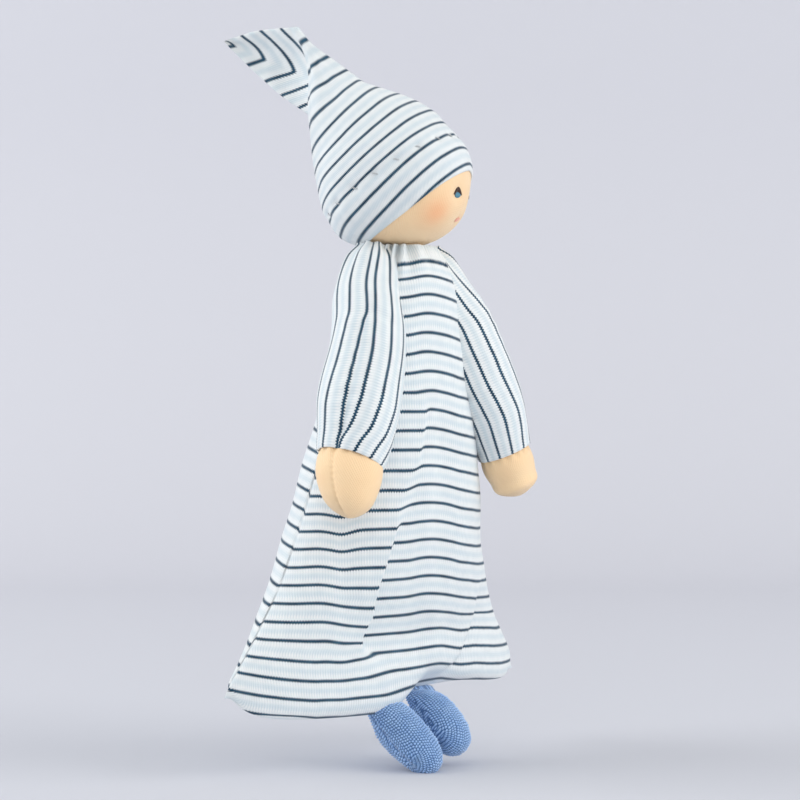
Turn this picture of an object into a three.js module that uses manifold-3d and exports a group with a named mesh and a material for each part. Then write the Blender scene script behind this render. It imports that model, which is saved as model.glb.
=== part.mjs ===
// Soft cloth doll comforter: a striped gown with sleeves, hands and feet, and a head in a pointed hood.
// Millimetres, +Z up, the doll faces -Y and its left side is +X.
// Heights are measured from the gown's bottom seam; the whole doll is then moved so that the chest,
// where a hand holds it, is at the origin.
import * as THREE from 'three';
import { mergeVertices } from 'three/addons/utils/BufferGeometryUtils.js';
import Module from 'manifold-3d';

const wasm = await Module();
wasm.setup();

// Cloth, thread and the clearance between neighbouring pieces
const gap = 0.35;
const jerseyThickness = 1.0;
const skinThickness = 0.9;
const gauzeThickness = 0.6;
const terryThickness = 1.4;
const threadRadius = 0.6;
const fillingEase = 1.4;
const hoodEase = 0.9;

// Gown, a closed bag: half sizes at shares of its length above the bottom seam
const gownLength = 193;
const hemHalfWidth = 88;
const hemTurnHalfWidth = 84;
const kneeHalfWidth = 70.4;
const hipHalfWidth = 55;
const waistHalfWidth = 46.2;
const ribsHalfWidth = 37;
const chestHalfWidth = 28;
const shoulderHalfWidth = 22;
const hemTurnHalfDepth = 14.7;
const kneeHalfDepth = 25.7;
const hipHalfDepth = 32.6;
const waistHalfDepth = 31.5;
const ribsHalfDepth = 29;
const chestHalfDepth = 23;
const shoulderHalfDepth = 20;
const necklineRadius = 14.5;
const hemTurnShare = 0.054;
const kneeShare = 0.153;
const hipShare = 0.304;
const waistShare = 0.48;
const ribsShare = 0.656;
const underarmShare = 0.74;
const chestShare = 0.882;
const shoulderShare = 0.955;
const hemSetback = 14.3;
const hipSetback = 11.5;
const waistSetback = 6;
const ribsSetback = 2.8;
const seamReach = 13.9;
const rightLobeSag = 17;
const leftLobeSag = 4;
const frontFoldDepth = 3.2;
const raglanAngle = 32;
const gripShare = 0.82;

// Head, turned to the doll's left, on a rounded neck stub
const neckRise = 3.5;
const headTurnAngle = 32;
const headHalfWidth = 32.5;
const headHalfDepth = 34;
const headHalfHeight = 28.3;
const headSetback = 3;
const headFullness = 2.3;
const neckStubRadius = 10;
const neckStubLength = 26;
const neckOpeningEase = 1;

// Face stitches: angles from the face's middle and heights from the head's middle
const eyeAngle = 19.4;
const eyeHeight = -8;
const irisRadius = 1.6;
const lashHalfWidth = 2.7;
const lashHeight = 3.2;
const mouthHeight = -18;
const mouthHalfWidth = 1.8;
const mouthHalfHeight = 1.4;
const stitchThickness = 0.6;

// Hood: sizes along its back-leaning axis from the head's middle
const hoodLeanAngle = 33.3;
const hoodEdge = -16;
const hoodLength = 82;
const hoodConeStart = 13;
const hoodConeStartRadius = 31.4;
const hoodConeMid = 34;
const hoodConeMidRadius = 21.6;
const hoodConeHigh = 61;
const hoodConeHighRadius = 6.4;
const hoodTipRadius = 1.6;
const hoodTipCap = 4;
const hoodTipRise = 1;
const hoodRowStep = 6;
const hoodFillingTop = 52;
const hoodStitchLevel = 0;
const hoodSideDrop = 4.3;
const tailFoldLow = 46;
const tailFoldHigh = 84;
const tailLength = 39.5;
const tailRise = 17;
const tailTroughDepth = 7;
const tailTurnAngle = 15;
const tailThickness = 2 * jerseyThickness + gap;
const tailFoldThickness = 0.8;
const tailThinningShare = 0.14;

// Arms: sleeve half sizes at shares of the length from the shoulder to the cuff
const armLength = 96;
const armSpreadAngle = 20.2;
const armForwardAngle = 10.8;
const armFacingAngle = 43;
const shoulderReach = 15;
const shoulderForward = 1.5;
const sleeveTopHalfWidth = 10;
const sleeveTopHalfThickness = 7;
const elbowShare = 0.45;
const elbowHalfWidth = 15.8;
const elbowHalfThickness = 13.3;
const forearmShare = 0.76;
const forearmHalfWidth = 17.6;
const forearmHalfThickness = 14;
const cuffHalfWidth = 14.6;
const cuffHalfThickness = 12;
const armPivotReach = 11;
const handLength = 25;
const handOpeningAngle = 24;

// Feet
const footSpacing = 28;
const footLength = 41.5;
const footToeInAngle = 10;
const rightFootAngle = 42.5;
const leftFootAngle = 38;
const ankleHalfWidth = 9.6;
const footHalfWidth = 9.4;
const footHalfHeight = 9;
const ankleEase = 0.25;

// Colours
const peach = 0xf3cfa2;
const striped = 0xdfe4ea;
const terryBlue = 0x7f9fcb;
const wool = 0xf4ecdc;
const gauze = 0xf7f2e8;
const thread = 0xf2efe8;
const lashBrown = 0x3a2a22;
const irisBlue = 0x4b8ea6;
const mouthPink = 0xd98a84;

// Facets round and along the forms
const gownAcross = 16;
const gownRows = 13;
const roundFacets = 20;
const threadFacets = 5;

const vec = (x, y, z) => new THREE.Vector3(x, y, z);
const { degToRad, smoothstep, clamp, lerp } = THREE.MathUtils;

/** A smooth curve through [position, value] knots, with the slope at each knot taken from its neighbours. */
function curveThrough(knots) {
  const slopes = knots.map((knot, i) => {
    const before = knots[Math.max(i - 1, 0)];
    const after = knots[Math.min(i + 1, knots.length - 1)];
    return (after[1] - before[1]) / (after[0] - before[0]);
  });
  return (x) => {
    let i = 0;
    while (i < knots.length - 2 && x > knots[i + 1][0]) i += 1;
    const [xa, ya] = knots[i];
    const [xb, yb] = knots[i + 1];
    const t = clamp((x - xa) / (xb - xa), 0, 1);
    const rise = (yb - ya) * t * t * (3 - 2 * t);
    const lead = t * (1 - t) * (xb - xa) * (slopes[i] * (1 - t) - slopes[i + 1] * t);
    return ya + rise + lead;
  };
}

/** Evenly spaced shares from first to last, both included. */
const shares = (count, first = 0, last = 1) =>
  Array.from({ length: count + 1 }, (_, i) => lerp(first, last, i / count));

/** Points of a closed ring: the function is called with count angles round the circle. */
const ring = (count, pointAt) =>
  Array.from({ length: count }, (_, i) => pointAt((2 * Math.PI * i) / count));

/** Turns every face over when the surface encloses a negative volume. */
function faceOutward(geometry) {
  const p = geometry.attributes.position;
  const index = geometry.index.array;
  const a = vec();
  const b = vec();
  const c = vec();
  let volume = 0;
  for (let i = 0; i < index.length; i += 3) {
    a.fromBufferAttribute(p, index[i]);
    b.fromBufferAttribute(p, index[i + 1]);
    c.fromBufferAttribute(p, index[i + 2]);
    volume += a.dot(b.cross(c));
  }
  if (volume < 0) {
    for (let i = 0; i < index.length; i += 3) [index[i], index[i + 1]] = [index[i + 1], index[i]];
  }
  return geometry;
}

/**
 * A closed solid through rings of equal length. Its ends are closed by a fan to a point each ("points"),
 * by a strip across a thin ring ("strip"), or by joining the last ring to the first ("loop").
 */
function loft(rings, ends) {
  const n = rings[0].length;
  const points = rings.flat();
  const faces = [];
  const quad = (a, b, c, d) => faces.push(a, b, c, a, c, d);
  const steps = ends.kind === 'loop' ? rings.length : rings.length - 1;
  for (let r = 0; r < steps; r += 1) {
    const low = r * n;
    const high = ((r + 1) % rings.length) * n;
    for (let i = 0; i < n; i += 1) {
      const j = (i + 1) % n;
      quad(low + i, low + j, high + j, high + i);
    }
  }
  const top = (rings.length - 1) * n;
  if (ends.kind === 'points') {
    points.push(ends.first, ends.last);
    for (let i = 0; i < n; i += 1) {
      const j = (i + 1) % n;
      faces.push(points.length - 2, j, i, points.length - 1, top + i, top + j);
    }
  }
  if (ends.kind === 'strip') {
    for (let i = 0; i < n / 2 - 1; i += 1) {
      quad(i, n - 1 - i, n - 2 - i, i + 1);
      quad(top + i, top + i + 1, top + n - 2 - i, top + n - 1 - i);
    }
  }
  const geometry = new THREE.BufferGeometry().setFromPoints(points);
  geometry.setIndex(faces);
  return faceOutward(geometry);
}

/** The mean of a ring's points. */
const middle = (points) => points.reduce((sum, p) => sum.add(p), vec(0, 0, 0)).divideScalar(points.length);

/** A solid through rings, each end closed by a fan to its own middle. */
const solidThrough = (rings) =>
  loft(rings, { kind: 'points', first: middle(rings[0]), last: middle(rings.at(-1)) });

/**
 * A shell that is closed at its start and open at its end. ringAt(share, inset) gives a ring, tipAt(inset)
 * the closing point; the inner wall lies one thickness inside the outer wall.
 */
function cupShell(ringAt, tipAt, rows, thickness) {
  const outer = rows.map((share) => ringAt(share, 0));
  const inner = rows.map((share) => ringAt(share, thickness));
  return loft([...outer, ...inner.reverse()], { kind: 'points', first: tipAt(0), last: tipAt(thickness) });
}

/** Welds equal corners and drops faces that have no area left. */
function weld(geometry) {
  const bare = new THREE.BufferGeometry();
  bare.setAttribute('position', geometry.attributes.position.clone());
  if (geometry.index) bare.setIndex(geometry.index.clone());
  const welded = mergeVertices(bare, 1e-5);
  const kept = [];
  const index = welded.index.array;
  for (let i = 0; i < index.length; i += 3) {
    const [a, b, c] = [index[i], index[i + 1], index[i + 2]];
    if (a !== b && b !== c && c !== a) kept.push(a, b, c);
  }
  welded.setIndex(kept);
  return welded;
}

function toManifold(geometry) {
  const welded = weld(geometry);
  return new wasm.Manifold(new wasm.Mesh({
    numProp: 3,
    vertProperties: new Float32Array(welded.attributes.position.array),
    triVerts: new Uint32Array(welded.index.array),
  }));
}

/** The geometry less each tool; crumbs that a cut leaves loose are dropped. */
function cutAway(geometry, ...tools) {
  let body = toManifold(geometry);
  for (const tool of tools) body = body.subtract(toManifold(tool));
  const largest = body.decompose().sort((a, b) => b.volume() - a.volume())[0];
  const mesh = largest.getMesh();
  const cut = new THREE.BufferGeometry();
  cut.setAttribute('position', new THREE.BufferAttribute(mesh.vertProperties, mesh.numProp));
  cut.setIndex(new THREE.BufferAttribute(mesh.triVerts, 1));
  return cut;
}

function addPiece(group, name, geometry, color, roughness = 0.9) {
  const mesh = new THREE.Mesh(geometry, new THREE.MeshStandardMaterial({ color, roughness, metalness: 0 }));
  mesh.name = name;
  group.add(mesh);
}

function addGroup(parent, name) {
  const group = new THREE.Group();
  group.name = name;
  parent.add(group);
  return group;
}

/** A ring of thread that lies level, centred on the group's axis at the given height. */
function threadRing(radius, height) {
  const torus = new THREE.TorusGeometry(radius, threadRadius, threadFacets, 28);
  return weld(torus.translate(0, 0, height));
}

// Gown

const gownHalfWidth = curveThrough([
  [0, hemHalfWidth],
  [hemTurnShare, hemTurnHalfWidth],
  [kneeShare, kneeHalfWidth],
  [hipShare, hipHalfWidth],
  [waistShare, waistHalfWidth],
  [ribsShare, ribsHalfWidth],
  [chestShare, chestHalfWidth],
  [shoulderShare, shoulderHalfWidth],
  [1, necklineRadius],
]);
const gownHalfDepth = curveThrough([
  [0, jerseyThickness],
  [hemTurnShare, hemTurnHalfDepth],
  [kneeShare, kneeHalfDepth],
  [hipShare, hipHalfDepth],
  [waistShare, waistHalfDepth],
  [ribsShare, ribsHalfDepth],
  [chestShare, chestHalfDepth],
  [shoulderShare, shoulderHalfDepth],
  [1, necklineRadius],
]);
const gownSetback = curveThrough([
  [0, hemSetback],
  [hipShare, hipSetback],
  [waistShare, waistSetback],
  [ribsShare, ribsSetback],
  [chestShare, 0],
  [1, 0],
]);

/** How far the front cloth hangs below its level where it rolls over the hem, one lobe on each side. */
function hemSag(angle, share) {
  const lobePlace = 0.62;
  const lobeWidth = 0.33;
  const rollShare = 0.035;
  const side = Math.cos(angle);
  const amount = side < 0 ? rightLobeSag : leftLobeSag;
  const across = Math.exp(-(((Math.abs(side) - lobePlace) / lobeWidth) ** 4));
  const up = (share / rollShare) * Math.exp(1 - share / rollShare);
  return Math.sin(angle) > 0 ? amount * across * up * Math.sin(angle) : 0;
}

/** The front's hollow down the middle with a soft fold on each side of it. */
function frontFold(angle, share) {
  const offset = angle - Math.PI / 2;
  const height = smoothstep(share, hemTurnShare, hipShare) * (1 - smoothstep(share, waistShare, chestShare));
  const foldSpread = 0.75;
  return -frontFoldDepth * height * Math.cos(5 * offset) * Math.exp(-((offset / foldSpread) ** 2));
}

/**
 * A point of the gown: the angle runs from the left side seam over the front (quarter turn) to the right
 * side seam and back over the back; the share runs up the length. Inset moves it inward.
 */
function gownPoint(angle, share, inset, seamGap = 0) {
  const front = Math.sin(angle);
  const halfWidth = gownHalfWidth(share) - inset;
  const halfDepth = Math.max(gownHalfDepth(share) - inset + frontFold(angle, share) * Math.max(front, 0), 0);
  const seamPull = seamReach * (1 - smoothstep(share, 0, kneeShare)) * front * front;
  const y = gownSetback(share) - seamPull - halfDepth * front - (seamGap / 2) * Math.sign(front);
  return vec(halfWidth * Math.cos(angle), y, gownLength * share - hemSag(angle, share));
}

/** Where a panel's raglan edge lies, as an angle from the side seam. */
const raglanEdge = (share) => degToRad(raglanAngle) * smoothstep(share, underarmShare, 1);

/** Row levels of the gown, closer together at the hem. */
const gownLevels = shares(gownRows).map((share) => share ** 1.35);

/** One panel of the gown, front (turn 0) or back (turn half a circle). */
function gownPanel(turn) {
  const loops = gownLevels.map((share) => {
    const edge = raglanEdge(share);
    const angles = shares(gownAcross, edge, Math.PI - edge).map((angle) => {
      const inside = Math.min(Math.max(angle, 1e-6), Math.PI - 1e-6);
      return inside + turn;
    });
    const outer = angles.map((angle) => gownPoint(angle, share, 0, gap));
    const inner = angles.map((angle) => gownPoint(angle, share, jerseyThickness, gap));
    return [...outer, ...inner.reverse()];
  });
  return loft(loops, { kind: 'strip' });
}

const gownRing = (share, inset) => ring(2 * gownAcross, (angle) => gownPoint(angle, share, inset));

/** The space that the gown takes, with the clearance, for cutting the arms. */
const upperLevels = gownLevels.filter((share) => share > hipShare);
const gownEnvelope = solidThrough(upperLevels.map((share) => gownRing(share, -gap)));

const neckPivotHeight = gownLength + neckRise;

/** The neck stub's lathe, a rounded post centred on the neck pivot, grown by the given amount. */
function neckStub(grow) {
  const radius = neckStubRadius + grow;
  const postRadius = 0.9 * neckStubRadius + grow;
  const meets = Math.acos(postRadius / radius);
  const base = -neckStubLength - grow;
  const profile = [new THREE.Vector2(0, base), new THREE.Vector2(postRadius, base)];
  for (const angle of shares(8, -meets, Math.PI / 2)) {
    profile.push(new THREE.Vector2(radius * Math.cos(angle), radius * Math.sin(angle)));
  }
  profile.at(-1).x = 0;
  return weld(new THREE.LatheGeometry(profile, 24).rotateX(Math.PI / 2));
}

const doll = new THREE.Group();
doll.name = 'doll';
doll.position.z = -gripShare * gownLength;

const torso = addGroup(doll, 'torso');
const fillingInset = jerseyThickness + fillingEase;
const fillingLevels = gownLevels.filter((share) => share > 0.6 * hemTurnShare && share < 0.97);
const bodyFilling = solidThrough(fillingLevels.map((share) => gownRing(share, fillingInset)));
addPiece(torso, 'gown_front_panel', gownPanel(0), striped);
addPiece(torso, 'gown_back_panel', gownPanel(Math.PI), striped);
addPiece(torso, 'body_filling', cutAway(bodyFilling, neckStub(gap).translate(0, 0, neckPivotHeight)), wool);
const gatherRadius = necklineRadius - jerseyThickness - gap + threadRadius;
const gatherThread = threadRing(gatherRadius, gownLength - 3 * threadRadius);
addPiece(torso, 'neck_gathering_thread', gatherThread, thread, 0.7);

// Neck and head, modelled from the neck pivot and turned together

const neck = addGroup(doll, 'neck');
neck.position.z = neckPivotHeight;
neck.rotation.z = degToRad(headTurnAngle);
addPiece(neck, 'neck_stub', neckStub(0), wool);

const head = addGroup(neck, 'head');
const headMiddle = vec(0, headSetback, headHalfHeight);

/** Distance from the head's middle to its surface along a direction. */
function headReach(direction) {
  const sum = Math.abs(direction.x / headHalfWidth) ** headFullness
    + Math.abs(direction.y / headHalfDepth) ** headFullness
    + Math.abs(direction.z / headHalfHeight) ** headFullness;
  return sum ** (-1 / headFullness);
}

const headPoint = (direction, inset) =>
  direction.clone().multiplyScalar(headReach(direction) - inset).add(headMiddle);

/** A ring of the head at a polar angle from its crown. */
function headRing(polar, inset) {
  return ring(roundFacets, (angle) => {
    const flat = Math.sin(polar);
    return headPoint(vec(flat * Math.cos(angle), flat * Math.sin(angle), Math.cos(polar)), inset);
  });
}

const crown = (inset) => headPoint(vec(0, 0, 1), inset);
const neckOpening = Math.PI - Math.asin((neckStubRadius + neckOpeningEase) / headHalfHeight);
const headRows = shares(11, 0.14, neckOpening);
const skinShell = cupShell(headRing, crown, headRows, skinThickness);
addPiece(head, 'head_skin', cutAway(skinShell, neckStub(gap)), peach);

const gauzeInset = skinThickness + gap;
const gauzeRing = (polar, inset) => headRing(polar, gauzeInset + inset);
const gauzeCrown = (inset) => crown(gauzeInset + inset);
const gauzeShell = cupShell(gauzeRing, gauzeCrown, headRows, gauzeThickness);
addPiece(head, 'head_gauze', cutAway(gauzeShell, neckStub(gap)), gauze);

const woolInset = gauzeInset + gauzeThickness + gap;
const closedRows = headRows.concat(Math.PI - 0.15);
const headSolid = (inset) => loft(closedRows.map((polar) => headRing(polar, inset)), {
  kind: 'points',
  first: crown(inset),
  last: headPoint(vec(0, 0, -1), inset),
});
addPiece(head, 'head_filling', cutAway(headSolid(woolInset), neckStub(gap)), wool);
addPiece(head, 'neck_tie_thread', threadRing(neckStubRadius + gap + 2 * threadRadius, 0), thread, 0.7);

/**
 * Gives a function that puts an [across, up] point, lifted by an amount, on the face about the place at an
 * angle from the face's middle (towards the doll's left) and a height from the head's middle.
 */
function facePlace(angle, height) {
  const facing = vec(Math.sin(degToRad(angle)), -Math.cos(degToRad(angle)), 0);
  const across = vec(-facing.y, facing.x, 0);
  const forward = Math.sqrt(headHalfDepth ** 2 - height ** 2);
  const place = facing.clone().multiplyScalar(forward).add(vec(0, 0, height));
  return ([u, w], lift) => {
    const direction = place.clone().addScaledVector(across, u).add(vec(0, 0, w)).normalize();
    return headPoint(direction, -lift);
  };
}

/** A domed pad of stitches on the face inside a ring of [across, up] points. */
function facePad(outline, angle, height) {
  const onFace = facePlace(angle, height);
  const count = outline.length;
  const centre = outline.reduce(([u, w], [du, dw]) => [u + du / count, w + dw / count], [0, 0]);
  const shrink = ([u, w]) => [lerp(centre[0], u, 0.8), lerp(centre[1], w, 0.8)];
  const top = gap + stitchThickness;
  const rings = [
    outline.map((p) => onFace(p, gap)),
    outline.map((p) => onFace(p, gap + 0.6 * stitchThickness)),
    outline.map((p) => onFace(shrink(p), top)),
  ];
  return loft(rings, { kind: 'points', first: onFace(centre, gap), last: onFace(centre, top) });
}

const oval = (halfWidth, halfHeight, drop) =>
  ring(12, (angle) => [halfWidth * Math.cos(angle), halfHeight * Math.sin(angle) - drop]);

/** The lash stitches: a band from one lower corner over the tent's point to the other, clear of the iris. */
function lashBand(angle, height) {
  const clear = irisRadius + gap;
  const inner = shares(6, -0.15 * Math.PI, 1.15 * Math.PI).map((turn) =>
    [clear * Math.cos(turn), clear * Math.sin(turn) - irisRadius]);
  const half = [[lashHalfWidth, -irisRadius], [0.8 * lashHalfWidth, 0], [0.5 * lashHalfWidth, 0.5 * lashHeight]];
  const outer = [...half, [0, lashHeight], ...half.toReversed().map(([u, w]) => [-u, w])];
  const onFace = facePlace(angle, height);
  const top = gap + stitchThickness;
  const rings = inner.map((p, i) =>
    [onFace(p, gap), onFace(outer[i], gap), onFace(outer[i], top), onFace(p, top)]);
  return loft(rings, { kind: 'strip' });
}

for (const [side, sign] of [['right', -1], ['left', 1]]) {
  const lash = lashBand(sign * eyeAngle, eyeHeight);
  const iris = facePad(oval(irisRadius, irisRadius, irisRadius), sign * eyeAngle, eyeHeight);
  addPiece(head, `${side}_eye_lash`, lash, lashBrown, 0.7);
  addPiece(head, `${side}_eye_iris`, iris, irisBlue, 0.7);
}
const mouth = facePad(oval(mouthHalfWidth, mouthHalfHeight, 0), 0, mouthHeight);
addPiece(head, 'mouth_stitch', mouth, mouthPink, 0.7);

// Hood

const lean = degToRad(hoodLeanAngle);
const hoodAxis = vec(0, Math.sin(lean), Math.cos(lean));
const hoodBack = vec(0, Math.cos(lean), -Math.sin(lean));
const hoodCone = curveThrough([
  [hoodEdge, 0],
  [hoodConeStart, hoodConeStartRadius],
  [hoodConeMid, hoodConeMidRadius],
  [hoodConeHigh, hoodConeHighRadius],
  [hoodLength, hoodTipRadius],
]);

/** The direction round the hood's axis at an angle from its back, towards the doll's left. */
const hoodSpoke = (angle) =>
  hoodBack.clone().multiplyScalar(Math.cos(angle)).add(vec(Math.sin(angle), 0, 0));

/** Distance from the hood's axis to the head's surface, at a level and an angle; 0 above the head. */
function headRadiusRound(level, spoke) {
  let near = 0;
  let far = headHalfDepth * 1.3;
  for (let i = 0; i < 30; i += 1) {
    const tried = (near + far) / 2;
    const offset = hoodAxis.clone().multiplyScalar(level).addScaledVector(spoke, tried);
    const reach = offset.length();
    if (reach < headReach(offset.normalize())) near = tried;
    else far = tried;
  }
  return near;
}

/** A point of the hood at a level along its axis and an angle round it. */
function hoodPoint(level, angle, inset) {
  const spoke = hoodSpoke(angle);
  const drop = hoodSideDrop * clamp(level / hoodEdge, 0, 1) * Math.sin(angle) ** 2;
  const overHead = headRadiusRound(level - drop, spoke) + hoodEase + jerseyThickness;
  const cone = level > hoodConeStart ? hoodCone(level) : 0;
  const radius = Math.max(overHead, cone, hoodTipRadius) - inset;
  return headMiddle.clone().addScaledVector(hoodAxis, level - drop).addScaledVector(spoke, radius);
}

const hoodRing = (level, inset) =>
  ring(roundFacets + 4, (angle) => hoodPoint(level - (level > hoodConeHigh ? inset : 0), angle, inset));
const hoodTip = (inset) => headMiddle.clone().addScaledVector(hoodAxis, hoodLength + hoodTipRise - 2 * inset);
const hoodRows = [
  ...shares(5, hoodLength - hoodTipCap, hoodConeMid),
  ...shares(6, hoodConeMid - hoodRowStep, hoodEdge),
];
addPiece(head, 'hood_cover', cupShell(hoodRing, hoodTip, hoodRows, jerseyThickness), striped);

const hoodFillingRows = hoodRows.filter((level) => level > 0 && level <= hoodFillingTop);
const hoodFilling = solidThrough(hoodFillingRows.map((level) => hoodRing(level, jerseyThickness + gap)));
addPiece(head, 'hood_filling', cutAway(hoodFilling, headSolid(-gap)), wool);

const hoodThread = loft(
  ring(28, (angle) => ring(threadFacets, (turn) => {
    const lift = -(gap + threadRadius) - threadRadius * Math.cos(turn);
    return hoodPoint(hoodStitchLevel + threadRadius * Math.sin(turn), angle, lift);
  })),
  { kind: 'loop' },
);
addPiece(head, 'hood_sewing_thread', hoodThread, thread, 0.7);

// The hood's folded tip: a trough that tapers from the fold line to a point

const tail = addGroup(head, 'tail');
const foldPoint = (up) => hoodPoint(lerp(tailFoldLow, tailFoldHigh, up), 0, -gap);
const tailBack = vec(Math.sin(degToRad(tailTurnAngle)), Math.cos(degToRad(tailTurnAngle)), 0);
const tailSide = vec(tailBack.y, -tailBack.x, 0);
const foldMiddle = foldPoint(0).lerp(foldPoint(1), 0.5);
const tailTip = foldMiddle.clone().addScaledVector(tailBack, tailLength).add(vec(0, 0, tailRise));

/** A cross-section of the tail: up one face of the trough and down the other, thinned at the fold. */
function tailLoop(share) {
  const depth = tailTroughDepth * Math.sin(Math.PI * Math.sqrt(share));
  const half = lerp(tailFoldThickness, tailThickness, smoothstep(share, 0, tailThinningShare)) / 2;
  const line = shares(6).map((up) => {
    const trough = depth * (1 - Math.abs(2 * up - 1));
    return foldPoint(up).lerp(tailTip, share).addScaledVector(tailSide, trough);
  });
  const faceOne = line.map((p) => p.clone().addScaledVector(tailSide, half));
  const faceTwo = line.map((p) => p.clone().addScaledVector(tailSide, -half));
  return [...faceOne, ...faceTwo.reverse()];
}
const tailShares = [0, 0.06, 0.14, 0.28, 0.42, 0.56, 0.7, 0.84, 0.96];
addPiece(tail, 'hood_tail', loft(tailShares.map(tailLoop), { kind: 'strip' }), striped);

// Arms and hands

const sleeveHalfWidth = curveThrough([
  [0, 0.6 * sleeveTopHalfWidth],
  [0.07, sleeveTopHalfWidth],
  [elbowShare, elbowHalfWidth],
  [forearmShare, forearmHalfWidth],
  [1, cuffHalfWidth],
]);
const sleeveHalfThickness = curveThrough([
  [0, 0.6 * sleeveTopHalfThickness],
  [0.07, sleeveTopHalfThickness],
  [elbowShare, elbowHalfThickness],
  [forearmShare, forearmHalfThickness],
  [1, cuffHalfThickness],
]);
const sleeveRows = [0.02, 0.07, 0.16, 0.26, 0.36, 0.46, 0.56, 0.66, 0.76, 0.86, 0.94, 1];
const handHalfWidth = cuffHalfWidth - jerseyThickness - 2 * gap;
const handHalfThickness = cuffHalfThickness - jerseyThickness - 2 * gap;

function addArm(side, sign) {
  const arm = addGroup(doll, `${side}_arm`);
  const shoulderPoint = vec(sign * shoulderReach, -shoulderForward, gownLength);
  const spread = Math.tan(degToRad(armSpreadAngle));
  const along = vec(sign * spread, -Math.tan(degToRad(armForwardAngle)), -1).normalize();
  const facing = vec(sign * Math.cos(degToRad(armFacingAngle)), -Math.sin(degToRad(armFacingAngle)), 0);
  const outward = facing.addScaledVector(along, -facing.dot(along)).normalize();
  const across = along.clone().cross(outward);
  const armPoint = (distance, wide, thick) => shoulderPoint.clone()
    .addScaledVector(along, distance).addScaledVector(across, wide).addScaledVector(outward, thick);

  const sleeveRing = (share, inset) => ring(roundFacets, (angle) => armPoint(
    share * armLength,
    (sleeveHalfWidth(share) - inset) * Math.cos(angle),
    (sleeveHalfThickness(share) - inset) * Math.sin(angle),
  ));
  const sleeveTop = (inset) => armPoint(inset, 0, 0);
  const innerLimit = new THREE.BoxGeometry(2 * (armPivotReach + gap), gownLength, gownLength)
    .translate(0, 0, gownLength);
  const sleeve = cupShell(sleeveRing, sleeveTop, sleeveRows, jerseyThickness);
  addPiece(arm, `${side}_sleeve`, cutAway(sleeve, gownEnvelope, innerLimit), striped);

  const wristTop = 1 - (handHalfWidth + 4 * threadRadius + gap) / armLength;
  const fillRows = sleeveRows.filter((share) => share > 0.05 && share < wristTop).concat(wristTop);
  const armFilling = solidThrough(fillRows.map((share) => sleeveRing(share, jerseyThickness + gap)));
  addPiece(arm, `${side}_arm_filling`, cutAway(armFilling, gownEnvelope, innerLimit), wool);

  const hand = addGroup(arm, `${side}_hand`);
  // Angle 0 is the fingertip, half a turn the middle of the dome inside the cuff.
  const handRing = (polar, inset) => ring(18, (angle) => {
    const down = Math.cos(polar);
    const length = (down > 0 ? handLength : handHalfWidth) - inset;
    const flat = Math.sin(polar) ** (down > 0 ? 0.85 : 1);
    return armPoint(
      armLength + length * down,
      (handHalfWidth - inset) * flat * Math.cos(angle),
      (handHalfThickness - inset) * flat * Math.sin(angle),
    );
  });
  const fingertip = (inset) => armPoint(armLength + handLength - inset, 0, 0);
  const handRows = shares(10, 0.2, Math.PI - degToRad(handOpeningAngle));
  addPiece(hand, `${side}_hand_skin`, cupShell(handRing, fingertip, handRows, skinThickness), peach);

  const handFillingInset = skinThickness + gap;
  const handFilling = loft(handRows.map((polar) => handRing(polar, handFillingInset)), {
    kind: 'points',
    first: fingertip(handFillingInset),
    last: middle(handRing(handRows.at(-1), handFillingInset)),
  });
  addPiece(hand, `${side}_hand_filling`, handFilling, wool);

  const openingRing = handRing(handRows.at(-1), skinThickness / 2);
  const openingMiddle = middle(openingRing);
  const lift = along.clone().multiplyScalar(-(gap + 1.6 * threadRadius));
  const tie = loft(
    openingRing.map((p) => {
      const spoke = p.clone().sub(openingMiddle).normalize();
      return ring(threadFacets, (turn) => p.clone().add(lift)
        .addScaledVector(spoke, threadRadius * Math.cos(turn))
        .addScaledVector(along, threadRadius * Math.sin(turn)));
    }),
    { kind: 'loop' },
  );
  addPiece(hand, `${side}_hand_tie`, tie, thread, 0.7);
}

// Feet

const ankleHalfHeight = terryThickness + ankleEase;
const footWidthAt = curveThrough([
  [0, ankleHalfWidth],
  [0.3, 0.96 * footHalfWidth],
  [0.65, footHalfWidth],
  [0.86, 0.8 * footHalfWidth],
  [0.97, 0.4 * footHalfWidth],
]);
const footHeightAt = curveThrough([
  [0, ankleHalfHeight],
  [0.3, 0.9 * footHalfHeight],
  [0.65, footHalfHeight],
  [0.86, 0.8 * footHalfHeight],
  [0.97, 0.4 * footHalfHeight],
]);
const footRows = [0.97, 0.92, 0.84, 0.72, 0.56, 0.4, 0.26, 0.13, 0.05, 0];
const footPivotDrop = gap + ankleHalfHeight;

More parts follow.
